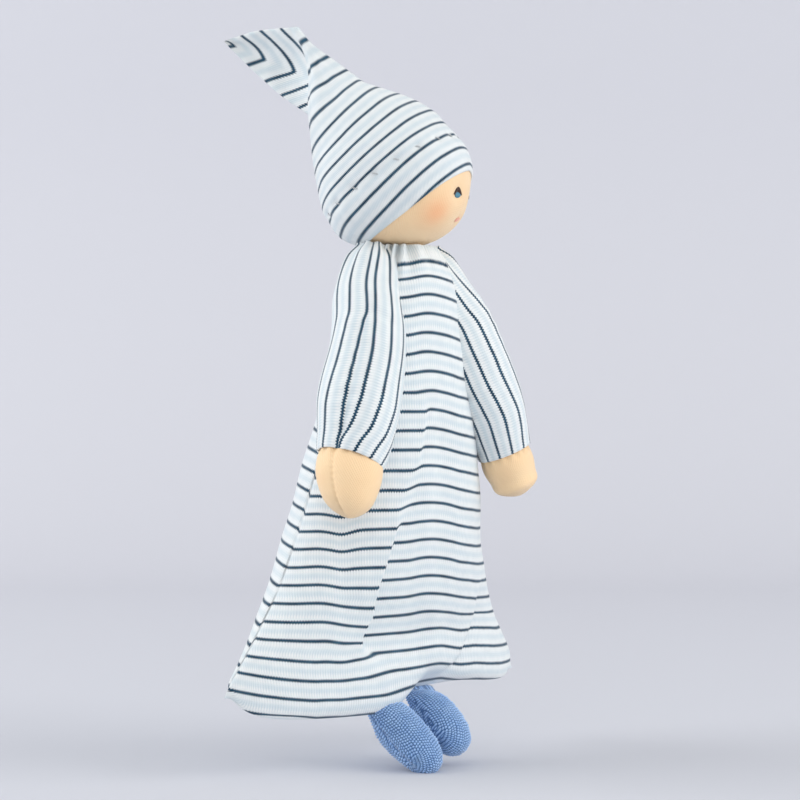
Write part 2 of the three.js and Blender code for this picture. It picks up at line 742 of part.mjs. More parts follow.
function addFoot(side, sign, pitch) {
  const foot = addGroup(doll, `${side}_foot`);
  const seamAngle = Math.acos((sign * footSpacing) / (2 * hemHalfWidth));
  const ankle = gownPoint(seamAngle, 0, jerseyThickness).add(vec(0, 0, -footPivotDrop));
  const drop = degToRad(pitch);
  const turnIn = degToRad(footToeInAngle);
  const level = Math.cos(drop);
  const along = vec(-sign * level * Math.sin(turnIn), -level * Math.cos(turnIn), -Math.sin(drop));
  const across = vec(1, 0, 0).addScaledVector(along, -along.x).normalize();
  const upward = across.clone().cross(along);
  const footPoint = (distance, wide, high) => ankle.clone()
    .addScaledVector(along, distance).addScaledVector(across, wide).addScaledVector(upward, high);
  const footRing = (share, inset) => ring(16, (angle) => footPoint(
    share * (footLength - inset),
    (footWidthAt(share) - inset) * Math.cos(angle),
    (footHeightAt(share) - inset) * Math.sin(angle),
  ));
  const toe = (inset) => footPoint(footLength - inset, 0, 0);
  addPiece(foot, `${side}_foot_sock`, cupShell(footRing, toe, footRows, terryThickness), terryBlue, 0.95);

  const stuffedInset = terryThickness + gap;
  const stuffedRows = footRows.filter((share) => share > 0.1 && share < 0.95);
  const stuffing = solidThrough(stuffedRows.map((share) => footRing(share, stuffedInset)));
  addPiece(foot, `${side}_foot_filling`, stuffing, wool);
}

addArm('right', -1);
addArm('left', 1);
addFoot('right', -1, rightFootAngle);
addFoot('left', 1, leftFootAngle);

const group = new THREE.Group();
group.name = 'doll_comforter';
group.add(doll);
export default group;
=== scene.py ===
import bmesh
import bpy
import numpy as np
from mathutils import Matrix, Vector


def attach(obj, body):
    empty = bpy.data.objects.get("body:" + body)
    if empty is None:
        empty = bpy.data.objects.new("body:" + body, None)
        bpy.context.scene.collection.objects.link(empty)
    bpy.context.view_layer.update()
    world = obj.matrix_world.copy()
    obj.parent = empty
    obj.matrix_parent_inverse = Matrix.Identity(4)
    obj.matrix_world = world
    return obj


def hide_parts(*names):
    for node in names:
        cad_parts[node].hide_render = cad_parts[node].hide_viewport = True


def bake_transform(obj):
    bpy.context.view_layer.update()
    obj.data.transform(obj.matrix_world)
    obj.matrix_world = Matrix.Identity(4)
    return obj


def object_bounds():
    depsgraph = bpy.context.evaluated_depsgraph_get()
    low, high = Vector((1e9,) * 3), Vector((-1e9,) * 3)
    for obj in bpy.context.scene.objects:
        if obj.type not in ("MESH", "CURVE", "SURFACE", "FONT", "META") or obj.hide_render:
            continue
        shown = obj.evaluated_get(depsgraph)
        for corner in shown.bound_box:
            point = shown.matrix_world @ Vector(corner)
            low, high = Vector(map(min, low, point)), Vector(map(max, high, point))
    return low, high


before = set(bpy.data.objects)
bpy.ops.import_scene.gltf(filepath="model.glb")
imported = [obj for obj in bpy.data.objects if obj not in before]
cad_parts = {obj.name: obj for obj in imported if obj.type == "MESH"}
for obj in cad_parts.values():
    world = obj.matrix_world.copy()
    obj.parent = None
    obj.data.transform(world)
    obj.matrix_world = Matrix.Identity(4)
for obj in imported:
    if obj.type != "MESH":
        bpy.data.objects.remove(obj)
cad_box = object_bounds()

MM = 0.001
GOWN_LENGTH = 193.0
GRIP = 0.82 * GOWN_LENGTH
NECK_PIVOT = GOWN_LENGTH + 3.5
HEAD_TURN = np.radians(32.0)
STRIPE = 8.3
RIB, COURSE = 1.2, 0.95
FLOOR = cad_box[0].z
DIAGONAL = np.sqrt(0.5)
UP = np.array([0.0, 0.0, 1.0])


# Camera: level, at the doll's right front quarter

CAMERA_AWAY, CAMERA_HEIGHT = 0.95, -0.03065
camera = bpy.data.objects.new("camera", bpy.data.cameras.new("camera"))
camera.data.sensor_width = 36.0
camera.data.lens = 96.7
camera.location = (-DIAGONAL * CAMERA_AWAY, -DIAGONAL * CAMERA_AWAY, CAMERA_HEIGHT)
camera.rotation_euler = (np.radians(90.0), 0.0, np.radians(-45.0))
bpy.context.scene.collection.objects.link(camera)
bpy.context.scene.camera = camera


# Curves and grids

def curve(*knots):
    """A smooth curve through (position, value) knots: cubic between neighbours, with the slope at each knot
    taken from the knots on both sides of it, and level beyond the ends."""
    x, y = np.array(knots, float).T
    before, after = np.maximum(np.arange(len(x)) - 1, 0), np.minimum(np.arange(len(x)) + 1, len(x) - 1)
    slope = (y[after] - y[before]) / (x[after] - x[before])

    def value(at):
        at = np.asarray(at, float)
        i = np.clip(np.searchsorted(x, at, side="right") - 1, 0, len(x) - 2)
        step = x[i + 1] - x[i]
        t = np.clip((at - x[i]) / step, 0.0, 1.0)
        rise = (y[i + 1] - y[i]) * t * t * (3.0 - 2.0 * t)
        return y[i] + rise + t * (1.0 - t) * step * (slope[i] * (1.0 - t) - slope[i + 1] * t)

    return value


def ease(x, low, high):
    """0 below low, 1 above high, and a smooth step between them."""
    t = np.clip((x - low) / (high - low), 0.0, 1.0)
    return t * t * (3.0 - 2.0 * t)


def between(x, low, full, fade, end):
    """Rises smoothly from 0 at low to 1 at full, and falls again from 1 at fade to 0 at end."""
    return ease(x, low, full) * (1.0 - ease(x, fade, end))


def bell(x, middle, width):
    """A bell of height 1 at middle that falls to 1/e at one width from it."""
    return np.exp(-(((x - middle) / width) ** 2))


def ripple(u, v, seed, waves=9, length=30.0):
    """Soft uneven waves between about -1 and 1: a sum of sines with seeded directions, lengths and phases."""
    rng = np.random.default_rng(seed)
    turn, phase = rng.uniform(0.0, 2.0 * np.pi, (2, waves))
    size = 2.0 * np.pi / (length * rng.uniform(0.6, 1.7, waves))
    along = np.cos(turn) * size
    across = np.sin(turn) * size
    total = np.sin(u[..., None] * along + v[..., None] * across + phase).sum(-1)
    return total / np.sqrt(2.0 * waves)


def unit(vectors):
    """The vectors at length 1."""
    return vectors / np.linalg.norm(vectors, axis=-1, keepdims=True)


def turns(columns):
    """The angles of a grid's columns, evenly once round."""
    return 2.0 * np.pi * np.arange(columns) / columns


def once_round(grid):
    """The grid with its first column again after its last one."""
    return np.concatenate([grid, grid[:, :1]], 1)


def steps_along(points, axis):
    """Distance in mm along a grid's rows (axis 0) or columns (axis 1), starting at 0."""
    step = np.linalg.norm(np.diff(points, axis=axis), axis=-1)
    shape = list(step.shape)
    shape[axis] = 1
    return np.concatenate([np.zeros(shape), np.cumsum(step, axis=axis)], axis=axis)


def mesh_piece(name, points, faces, uv, material, attributes=()):
    """A smooth mesh from points in mm, faces as corner numbers and one cloth coordinate per corner. Equal
    points are welded and the faces are turned outwards. Attributes are (name, one value per point)."""
    mesh = bpy.data.meshes.new(name)
    mesh.from_pydata((points * MM).tolist(), [], faces)
    layer = mesh.uv_layers.new(name="cloth")
    layer.data.foreach_set("uv", np.asarray(uv, np.float32).ravel())
    for label, values in attributes:
        mesh.attributes.new(label, "FLOAT", "POINT").data.foreach_set("value", values.astype(np.float32))
    work = bmesh.new()
    work.from_mesh(mesh)
    bmesh.ops.remove_doubles(work, verts=work.verts, dist=1e-6)
    bmesh.ops.dissolve_degenerate(work, edges=work.edges, dist=1e-7)
    bmesh.ops.recalc_face_normals(work, faces=work.faces)
    if work.calc_volume(signed=True) < 0:
        bmesh.ops.reverse_faces(work, faces=work.faces)
    work.to_mesh(mesh)
    work.free()
    mesh.polygons.foreach_set("use_smooth", np.ones(len(mesh.polygons), bool))
    mesh.materials.append(material)
    piece = bpy.data.objects.new(name, mesh)
    bpy.context.scene.collection.objects.link(piece)
    return piece


def tube_piece(name, points, uv, material, attributes=(), poles=(True, True)):
    """A closed skin over a grid (rows, columns, 3) whose columns go once round. uv has one column more than
    points. A pole closes an end with a fan to the end row's middle."""
    rows, columns = points.shape[:2]
    row, column = np.meshgrid(np.arange(rows - 1), np.arange(columns), indexing="ij")
    around = (column + 1) % columns
    corners = np.stack([row * columns + column, row * columns + around,
                        (row + 1) * columns + around, (row + 1) * columns + column], -1).reshape(-1, 4)
    corner_uv = np.stack([uv[row, column], uv[row, column + 1],
                          uv[row + 1, column + 1], uv[row + 1, column]], -2).reshape(-1, 2)
    flat = points.reshape(-1, 3)
    values = [(label, v.ravel()) for label, v in attributes]
    faces = corners.tolist()
    for end, wanted in ((0, poles[0]), (rows - 1, poles[1])):
        if not wanted:
            continue
        c = np.arange(columns)
        first, second = (c + 1) % columns, c
        pole = np.full(columns, len(flat))
        flat = np.concatenate([flat, points[end].mean(0)[None]])
        values = [(label, np.append(v, v[end * columns:(end + 1) * columns].mean())) for label, v in values]
        faces += np.stack([end * columns + first, end * columns + second, pole], -1).tolist()
        middle = 0.5 * (uv[end, :-1] + uv[end, 1:])
        corner_uv = np.concatenate([corner_uv, np.stack([uv[end, 1:], uv[end, :-1], middle], 1).reshape(-1, 2)])
    return mesh_piece(name, flat, faces, corner_uv, material, values)


def strand_piece(name, paths, radius, material, sides=6):
    """Many short threads in one mesh: paths is (threads, steps, 3); each step has a ring of points at right
    angles to its path, thinned at both ends."""
    count, steps = paths.shape[:2]
    ahead = unit(np.gradient(paths, axis=1))
    side = unit(np.cross(ahead, np.broadcast_to([0.31, 0.17, 0.93], ahead.shape)))
    lift = np.cross(ahead, side)
    turn = turns(sides)
    thin = radius * (0.35 + 0.65 * np.sin(np.pi * np.linspace(0.06, 0.94, steps)) ** 0.5)[None, :, None, None]
    ring = side[:, :, None] * np.cos(turn)[:, None] + lift[:, :, None] * np.sin(turn)[:, None]
    points = paths[:, :, None] + thin * ring
    strand, row, column = np.meshgrid(np.arange(count), np.arange(steps - 1), np.arange(sides), indexing="ij")
    at = (strand * steps + row) * sides
    around = (column + 1) % sides
    faces = np.stack([at + column, at + around, at + sides + around, at + sides + column], -1).reshape(-1, 4)
    caps = np.arange(count)[:, None] * steps * sides + np.arange(sides)
    faces = faces.tolist() + caps[:, ::-1].tolist() + (caps + (steps - 1) * sides).tolist()
    lengthwise = np.linspace(0.0, 1.0, steps)[None, :, None]
    flat_uv = np.stack(np.broadcast_arrays(turn / turn.max(), lengthwise * np.ones((count, 1, 1))), -1)
    corner_uv = flat_uv.reshape(-1, 2)[np.concatenate([np.ravel(f) for f in faces])]
    return mesh_piece(name, points.reshape(-1, 3), faces, corner_uv, material)


# Materials

class Finish:
    """A procedural material; each call adds a node and returns its output."""

    def __init__(self, name, roughness=0.9, sheen=0.3):
        self.material = bpy.data.materials.new(name)
        self.material.use_nodes = True
        self.nodes = self.material.node_tree.nodes
        self.links = self.material.node_tree.links
        self.shader = self.nodes["Principled BSDF"]
        self.shader.inputs["Roughness"].default_value = roughness
        self.shader.inputs["Specular IOR Level"].default_value = 0.2
        self.shader.inputs["Sheen Weight"].default_value = sheen
        self.shader.inputs["Sheen Roughness"].default_value = 0.5

    def put(self, socket, value):
        if isinstance(value, bpy.types.NodeSocket):
            self.links.new(value, socket)
        elif value is not None:
            socket.default_value = value

    def math(self, operation, a, b=None, c=None):
        node = self.nodes.new("ShaderNodeMath")
        node.operation = operation
        for socket, value in zip(node.inputs, (a, b, c)):
            self.put(socket, value)
        return node.outputs[0]

    def cloth(self):
        """The cloth coordinates: mm across the ribs and mm across the stripes."""
        node = self.nodes.new("ShaderNodeUVMap")
        node.uv_map = "cloth"
        split = self.nodes.new("ShaderNodeSeparateXYZ")
        self.links.new(node.outputs[0], split.inputs[0])
        return split.outputs[0], split.outputs[1]

    def place(self):
        return self.nodes.new("ShaderNodeTexCoord").outputs["Object"]

    def amount(self, label):
        node = self.nodes.new("ShaderNodeAttribute")
        node.attribute_name = label
        return node.outputs["Fac"]

    def noise(self, vector, scale, detail=3.0):
        node = self.nodes.new("ShaderNodeTexNoise")
        self.put(node.inputs["Vector"], vector)
        node.inputs["Scale"].default_value = scale
        node.inputs["Detail"].default_value = detail
        return node.outputs["Fac"]

    def spread(self, value, low, high, to_low=0.0, to_high=1.0):
        """Maps low..high smoothly to to_low..to_high, and stays there beyond them."""
        node = self.nodes.new("ShaderNodeMapRange")
        node.interpolation_type = "SMOOTHSTEP"
        for socket, number in zip(node.inputs, (value, low, high, to_low, to_high)):
            self.put(socket, number)
        return node.outputs[0]

    def mix(self, factor, a, b, blend="MIX"):
        node = self.nodes.new("ShaderNodeMix")
        node.data_type, node.blend_type = "RGBA", blend
        self.put(node.inputs["Factor"], factor)
        for label, value in (("A", a), ("B", b)):
            socket = [s for s in node.inputs if s.name == label and s.type == "RGBA"][0]
            self.put(socket, value if isinstance(value, bpy.types.NodeSocket) else paint(*value))
        return [s for s in node.outputs if s.type == "RGBA"][0]

    def wave(self, value, length, phase=0.0):
        """A sine of a length in mm, from 0 to 1."""
        turned = self.math("MULTIPLY_ADD", value, 2.0 * np.pi / length, phase)
        return self.math("MULTIPLY_ADD", self.math("SINE", turned), 0.5, 0.5)

    def done(self, colour, height, depth):
        """Links the colour and a bump of the given depth in mm, and returns the material."""
        self.put(self.shader.inputs["Base Color"], colour)
        bump = self.nodes.new("ShaderNodeBump")
        bump.inputs["Strength"].default_value = 1.0
        bump.inputs["Distance"].default_value = depth * MM
        self.links.new(height, bump.inputs["Height"])
        self.links.new(bump.outputs[0], self.shader.inputs["Normal"])
        return self.material


def paint(red, green, blue):
    """A shown colour (0 to 255 a channel) as the linear colour that a shader takes."""
    shown = np.array([red, green, blue]) / 255.0
    linear = np.where(shown <= 0.04045, shown / 12.92, ((shown + 0.055) / 1.055) ** 2.4)
    return (*linear.tolist(), 1.0)


def striped_jersey():
    """White rib knit with a navy line at each stripe repeat and a pale blue band halfway between the lines.
    The lines' edges step in and out with the ribs; the ribs and the courses of stitches stand up, and painted shade
    makes the colour a little darker between the ribs."""
    f = Finish("striped_jersey", 0.92, 0.25)
    across, along = f.cloth()
    place = f.place()
    wander = f.math("MULTIPLY_ADD", f.noise(place, 90.0, 2.0), 0.5, -0.25)
    rib = f.wave(across, RIB)
    teeth = f.math("MULTIPLY_ADD", rib, 0.62, -0.31)
    row = f.math("ADD", f.math("ADD", along, teeth), wander)
    repeat = f.math("WRAP", row, STRIPE, 0.0)
    from_line = f.math("ABSOLUTE", f.math("SUBTRACT", repeat, STRIPE / 2.0))
    navy = f.spread(from_line, STRIPE / 2.0 - 0.88, STRIPE / 2.0 - 0.54)
    pale = f.spread(from_line, 2.0, 0.3)
    fade = f.spread(f.noise(place, 260.0, 4.0), 0.25, 0.8)
    white = f.mix(fade, (233, 237, 238), (240, 243, 243))
    blue = f.mix(fade, (207, 221, 228), (214, 226, 231))
    ink = f.mix(fade, (18, 54, 76), (44, 86, 110))
    ground = f.mix(f.math("MULTIPLY", pale, 0.7), white, blue)
    # painted shade: the colour is multiplied a little darker between the ribs
    shade = f.mix(f.spread(rib, 0.0, 0.55), (241, 244, 246), (255, 255, 255))
    rib_shaded_colour = f.mix(1.0, f.mix(navy, ground, ink), shade, "MULTIPLY")
    course = f.wave(along, COURSE)
    return f.done(rib_shaded_colour, f.math("MULTIPLY_ADD", course, 0.25, rib), 0.09)


def peach_knit():
    """Fine peach knit: narrow wales with small stitches, a little uneven in colour, darker between the wales as
    painted shade, and pink where the cheeks are rubbed."""
    f = Finish("peach_knit", 0.9, 0.3)
    across, along = f.cloth()
    place = f.place()
    wale = f.wave(across, 0.95)
    stitch = f.wave(along, 0.8)
    uneven = f.spread(f.noise(place, 60.0, 3.0), 0.3, 0.7)
    base = f.mix(uneven, (250, 216, 172), (252, 223, 181))
    # painted shade: a little darker in the grooves between the wales
    wale_shaded = f.mix(f.spread(wale, 0.0, 0.5), (250, 213, 168), base)
    rosy = f.mix(f.amount("blush"), wale_shaded, (252, 168, 114))
    return f.done(rosy, f.math("MULTIPLY_ADD", stitch, 0.3, wale), 0.08)


def blue_terry():
    """Looped terry in light blue, with painted shade making it darker between the loops, and the loops standing up.
    """
    f = Finish("blue_terry", 0.95, 0.45)
    loops = f.amount("loops")
    place = f.place()
    uneven = f.spread(f.noise(place, 180.0, 4.0), 0.3, 0.7)
    light = f.mix(uneven, (150, 186, 233), (172, 205, 245))
    # painted shade: dark blue between the loops, the light blue on them
    colour = f.mix(f.spread(loops, 0.05, 0.7), (70, 108, 158), light)
    return f.done(colour, f.noise(place, 1500.0, 2.0), 0.2)


def stitched(name, dark, light):
    """Embroidery thread: twisted strands, with the colour changing a little along them: darker in the grooves of the
    twist as painted shade.
    """
    f = Finish(name, 0.6, 0.15)
    around, along = f.cloth()
    twist = f.wave(f.math("MULTIPLY_ADD", along, 5.0, around), 1.0)
    # painted shade: darker in the grooves of the twist, lighter on its ridges
    colour = f.mix(f.spread(twist, 0.0, 1.0), dark, light)
    return f.done(colour, twist, 0.08)


JERSEY = striped_jersey()
PEACH = peach_knit()
TERRY = blue_terry()
LASH = stitched("lash_thread", (44, 30, 26), (92, 66, 52))
IRIS = stitched("iris_thread", (58, 118, 146), (112, 168, 190))
MOUTH = stitched("mouth_thread", (246, 166, 144), (252, 196, 176))
THREAD = stitched("sewing_thread", (178, 184, 188), (212, 214, 214))


def finish_piece(piece, body, nodes):
    """Puts a piece on its body and hides the solids that it stands for."""
    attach(piece, body)
    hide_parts(*nodes)


# Gown

HEM_TURN, KNEE, HIP, WAIST, RIBS, CHEST, SHOULDER = 0.054, 0.153, 0.304, 0.48, 0.656, 0.882, 0.955
NECKLINE = 14.5
NECKLINE_RISE = 2.5
SEAM_REACH, SEAM_SETBACK = 13.9, 14.3
ROLL = 0.035
gown_half_width = curve((0, 89.5), (HEM_TURN, 85.5), (KNEE, 71.4), (HIP, 56), (WAIST, 47), (RIBS, 37.5),
                        (CHEST, 28), (SHOULDER, 22), (1, NECKLINE))
gown_half_depth = curve((0, 0), (HEM_TURN, 14.7), (KNEE, 25.7), (HIP, 32.6), (WAIST, 31.5), (RIBS, 29),
                        (CHEST, 23), (SHOULDER, 20), (1, NECKLINE))
gown_setback = curve((0, SEAM_SETBACK), (HIP, 11.5), (WAIST, 6), (RIBS, 2.8), (CHEST, 0), (1, 0))
# How far the rolled hem hangs below the seam, from the right side (-1) over the front to the left side (1)
hem_hang = curve((-1, 0), (-0.93, 8.8), (-0.83, 11.2), (-0.7, 12.8), (-0.5, 13.7), (-0.2, 14.0), (-0.12, 13.0),
                 (-0.02, 7.0), (0.05, 2.0), (0.1, 0), (0.25, 0), (0.45, 3.0), (0.7, 6.5), (0.88, 6.5), (1, 0))

# The overlap fold on the doll's right runs down and outwards over the front. By height above the seam: its
# place across the diagonal, how deep it is, and half the width of its step.
fold_place = curve((-10, 4), (1, 0), (9, -8), (17, -12), (21.5, -15.5), (27, -15.3), (35, -11.5), (41.3, -10.8),
                   (58.6, -5.4), (73.7, -0.5), (100, 8.5), (118, 11.6), (126, 11.8), (137, 6), (150, 4))
DEEPEST_FOLD = 3.6
fold_step = curve((10, 0), (16, 0.4), (22, 3.2), (41, DEEPEST_FOLD), (58, 2.6), (73, 1.9), (90, 1.2), (106, 1.0),
                  (123, 0.9), (135, 0))
fold_width = curve((0, 9.0), (15, 8.0), (19, 4.0), (23, 0.9), (70, 0.8), (82, 3.5), (95, 3.5), (104, 1.4),
                   (124, 1.8), (130, 6.0), (137, 9.0), (150, 9.0))
# On the doll's left the middle of the front laps over the lobe beside it
far_fold_place = curve((0, 13), (5.9, 19.6), (12.8, 26.8), (21.9, 30.8), (29.7, 34), (40.5, 36.3), (60, 40))
# Columns of the gown's mesh, counted up at its left side, front, right side, back and left side again; most of
# them are on the right of the front, where the sharp fold is
GOWN_COLUMNS = (0, 72, 240, 296, 352)


def gown_surface(rows):
    """The gown is a bag: at each share of its length an oval ring, pulled forward at the bottom seam. The hem
    hangs in a rolled lobe on each side of the front, and an overlap fold runs down each side of its middle.
    Returns the points, the share of each row and how many half widths each point is past the right fold."""
    share = np.linspace(0.0, 1.0, rows) ** 1.25
    angle = np.interp(np.arange(GOWN_COLUMNS[-1]), GOWN_COLUMNS, np.radians([0.0, 90.0, 180.0, 270.0, 360.0]))
    share, angle = np.meshgrid(share, angle, indexing="ij")
    front = np.sin(angle)
    facing = np.maximum(front, 0.0)
    half_depth = gown_half_depth(share)
    seam_pull = SEAM_REACH * (1.0 - ease(share, 0.0, KNEE)) * front ** 2
    x = gown_half_width(share) * np.cos(angle)
    y = gown_setback(share) - seam_pull - half_depth * front
    roll = (share / ROLL) * np.exp(1.0 - share / ROLL)
    height = GOWN_LENGTH * share - hem_hang(np.cos(angle)) * roll * ease(front, 0.0, 0.3)
    height = height + 3.0 * ease(-np.cos(angle), 0.8, 1.0) * (1.0 - ease(share, 0.0, 0.08))
    height = height + NECKLINE_RISE * ease(share, 0.93, 1.0)

    # Folds, pushed along the outward direction of the oval
    high = GOWN_LENGTH * share
    diagonal = DIAGONAL * (x - y)
    right_side = ease(-x, -12.0, 4.0)
    from_fold = diagonal - fold_place(height)
    past_fold = from_fold / fold_width(height)
    inner = ease(past_fold, -1.0, 1.0)
    away = np.abs(from_fold)
    overlap = (1.0 - inner) * 1.8 * np.exp(-away / 11.0) - inner * 2.4 * np.exp(-away / 13.0)
    overlap = facing * fold_step(high) / DEEPEST_FOLD * right_side * overlap
    past_far = diagonal - far_fold_place(high)
    lap = ease(past_far, -1.0, 1.0) * np.exp(-np.maximum(past_far, 0.0) / 20.0)
    lap = -4.0 * lap * between(high, 2.0, 12.0, 32.0, 56.0) * facing
    groove = -1.3 * bell(diagonal, -22.9, 5.0) * between(high, 26.0, 44.0, 66.0, 84.0) * facing
    ridge = 1.3 * bell(diagonal, 14.0, 4.5) * between(high, 4.0, 20.0, 110.0, 135.0) * facing
    hollow = -2.4 * bell(x, 0.0, 11.0) * between(share, HEM_TURN, HIP, WAIST, CHEST) * facing
    seam = -0.7 * bell(np.abs(front) * np.maximum(half_depth, 1.0), 0.0, 0.9) * ease(share, 0.0, 0.03)
    puff = np.cos(21.0 * angle + 2.2 * np.sin(2.0 * angle) + 1.3 * np.sin(5.0 * angle))
    puff = puff * (0.55 + 0.45 * np.sin(3.0 * angle + 0.7))
    gathers = puff * (2.0 * ease(share, 0.945, 0.985) + 0.8 * ease(share, 0.9, 0.96))
    waves = 0.55 * ripple(angle * 40.0, high, 5, length=42.0) * between(share, 0.01, 0.12, 0.93, 1.0)
    push = overlap + lap + groove + ridge + hollow + seam + gathers + waves
    outward = unit(np.stack([np.cos(angle) * np.maximum(half_depth, 6.0), -front * gown_half_width(share)], -1))
    x = x + push * outward[..., 0]
    y = y + push * outward[..., 1] * ease(share, 0.0, 0.02)
    return np.stack([x, y, height], -1), share, past_fold


# Stripes of the gown: the row count by height down the middle of the front, and how far a row hangs below
# that level. Beside is the place across the view from the doll's right front, high the height above the seam.
stripe_row = curve((-13, 24.0), (10.9, 21), (67.2, 14), (123.6, 7), (181.6, 0), (188.1, -1), (200, -1.7))
side_drop = curve((0, 2.5), (11, 2.3), (19, 2.0), (27, 1.4), (43, 1.6), (51, 1.9), (59, 2.5), (67, 3.1), (75, 3.9),
                  (84, 4.6), (100, 5.2))
fold_drop = curve((0, 3.0), (11, 2.5), (19, 2.6), (27, 4.2), (35, 4.7), (43, 4.1), (51, 3.5), (59, 3.0), (67, 2.7),
                  (84, 2.6), (92, 2.2), (99, 1.8), (107, 1.2), (124, 1.0), (140, 1.5), (160, 2.2), (180, 2.4))
valley_drop = curve((0, 0.4), (11, 0.5), (19, 0.8), (27, 0.4), (35, 0.4), (43, 0.7), (59, 1.1), (67, 1.5),
                    (84, 2.0))
middle_drop = curve((-14, 0.9), (0, 0.85), (4.4, 0.7), (8.8, 0.1), (13.3, 0), (17.7, 0.6), (22.1, 1.6), (26.5, 3.0),
                    (30.9, 4.1), (35.4, 5.3), (44, 6.2), (60, 6.6))
low_middle_drop = curve((-14, 0.6), (4.4, 0.6), (13.3, 0), (17.7, 0.1), (22.1, 1.2), (26.5, 2.5), (31, 2.9),
                        (34, 3.0), (40, 4.2), (48.6, 6.0), (60, 6.6))


def front_drop(beside, high, past_fold):
    """How far a stripe of the front hangs: outside the fold a slope from the fold to the side seam with a dip in
    the valley between them, inside it an arch over the middle; across the fold it steps from one to the other."""
    lobe = side_drop(high) + (fold_drop(high) - side_drop(high)) * ease(beside, -34.0, -12.0)
    lobe = lobe + valley_drop(high) * bell(beside, -24.5, 5.5)
    out = np.maximum(-35.0 - beside, 0.0)
    lobe = lobe - 4.9 * (out / 31.0) ** 1.3 * (1.0 - ease(high, 8.0, 40.0)) + 0.06 * out * ease(high, 35.0, 55.0)
    lobe = lobe - 0.285 * out * ease(-high, 4.0, 9.0)
    upper = middle_drop(beside)
    middle = upper + (low_middle_drop(beside) - upper) * (1.0 - ease(high, 24.0, 36.0))
    return lobe + (middle - lobe) * ease(past_fold, -1.0, 1.0)


def gown():
    """Makes the gown's cloth: across the ribs it counts the length round each row from the middle of its panel,
    and along them the stripe rows by height, with the drop of the front, and rising round the back."""
    _, front, side, middle, columns = GOWN_COLUMNS
    points, share, past_fold = gown_surface(230)
    turn_in = np.linspace(0.0, 1.0, 9)[1:, None, None]
    inward = points[-1] * (1.0 - UP)
    closing = points[-1] - inward * 0.55 * turn_in - UP * 2.2 * turn_in ** 2
    points = np.concatenate([points, closing])
    closed = once_round(points)
    round_row = steps_along(closed, 1)
    back = np.arange(columns + 1) > side
    across = np.where(back, round_row - round_row[:, [middle]], round_row - round_row[:, [front]])
    x, y, high = np.moveaxis(closed, -1, 0)
    beside = DIAGONAL * (x - y)
    past_fold = np.pad(once_round(past_fold), ((0, len(turn_in)), (0, 0)), "edge")
    past_seam = np.minimum(np.abs(round_row - round_row[:, [side]]), round_row[:, -1:] - round_row)
    drop = np.where(back, -5.0 * (1.0 - np.exp(-past_seam / 18.0)) + 3.0, front_drop(beside, high, past_fold))
    top = len(share)
    drop[top:] = drop[top - 1]
    high[top:] = high[top - 1] + (round_row[top - 1:-1, -1:] - round_row[top:, -1:]) / 6.0
    uv = np.stack([across, STRIPE * stripe_row(high + drop)], -1)
    piece = tube_piece("gown", points - GRIP * UP, uv, JERSEY, poles=(False, True))
    finish_piece(piece, "torso",
                 ["gown_front_panel", "gown_back_panel", "body_filling", "neck_gathering_thread"])


# Head

HEAD_RADII = np.array([32.5, 34.0, 28.3])
CHIN_DEPTH = 30.0
HEAD_FULLNESS = 2.3
HEAD_ROUND = 33.0
HEAD_MIDDLE = np.array([0.0, 3.0, 28.3])
HOOD_LEAN = np.radians(33.3)
HOOD_AXIS = np.array([0.0, np.sin(HOOD_LEAN), np.cos(HOOD_LEAN)])
HOOD_BACK = np.array([0.0, np.cos(HOOD_LEAN), -np.sin(HOOD_LEAN)])


def head_reach(direction):
    """Distance from the head's middle to its skin: the radius of a fuller-than-round ellipsoid, fullest low on
    its sides and back, deepest at the chin and flatter at the nape."""
    low = direction[..., 2] < 0.0
    fuller = 0.35 * ease(-direction[..., 2], 0.1, 0.6) * ease(direction[..., 1], -0.5, 0.2)
    full = (HEAD_FULLNESS + fuller)[..., None]
    part = direction / np.where(low[..., None], (*HEAD_RADII[:2], CHIN_DEPTH), HEAD_RADII)
    nape = ease(direction.dot(HOOD_BACK), 0.55, 0.95) * (1.0 - 0.75 * ease(-direction[..., 2], 0.55, 0.8))
    return (np.abs(part) ** full).sum(-1) ** (-1.0 / full[..., 0]) * (1.0 - 0.072 * nape)


def in_doll_frame(points):
    """From the head's own frame (origin at the neck pivot, face to -Y) to the doll's frame."""
    c, s = np.cos(HEAD_TURN), np.sin(HEAD_TURN)
    x, y, z = np.moveaxis(points, -1, 0)
    return np.stack([c * x - s * y, s * x + c * y, z + NECK_PIVOT - GRIP], -1)


def on_face(angle, height, across, up, lift):
    """Points on the face about a place given by its angle from the face's middle (to the doll's left) and its
    height from the head's middle, moved across and up, and lifted off the skin."""
    turn = np.radians(angle)
    facing = np.array([np.sin(turn), -np.cos(turn), 0.0])
    sideways = np.array([np.cos(turn), np.sin(turn), 0.0])
    middle = facing * np.sqrt(HEAD_RADII[1] ** 2 - height ** 2) + height * UP
    direction = unit(middle + across[..., None] * sideways + up[..., None] * UP)
    return HEAD_MIDDLE + direction * (head_reach(direction) + lift)[..., None]


def face_spot(angle, height):
    """The point of the skin at an angle from the face's middle and a height from the head's middle."""
    zero = np.zeros(1)
    return on_face(angle, height, zero, zero, zero)[0]


EYE_ANGLE, EYE_HEIGHT = 19.4, -8.0
MOUTH_HEIGHT = -18.0
CHEEK_ANGLE, CHEEK_HEIGHT = 39.5, -15.8
# Height, depth and width of the hollows that the stitches draw
EYE_HOLLOW = (EYE_HEIGHT + 1.0, 1.2, 4.4)
MOUTH_HOLLOW = (MOUTH_HEIGHT, 0.6, 3.0)


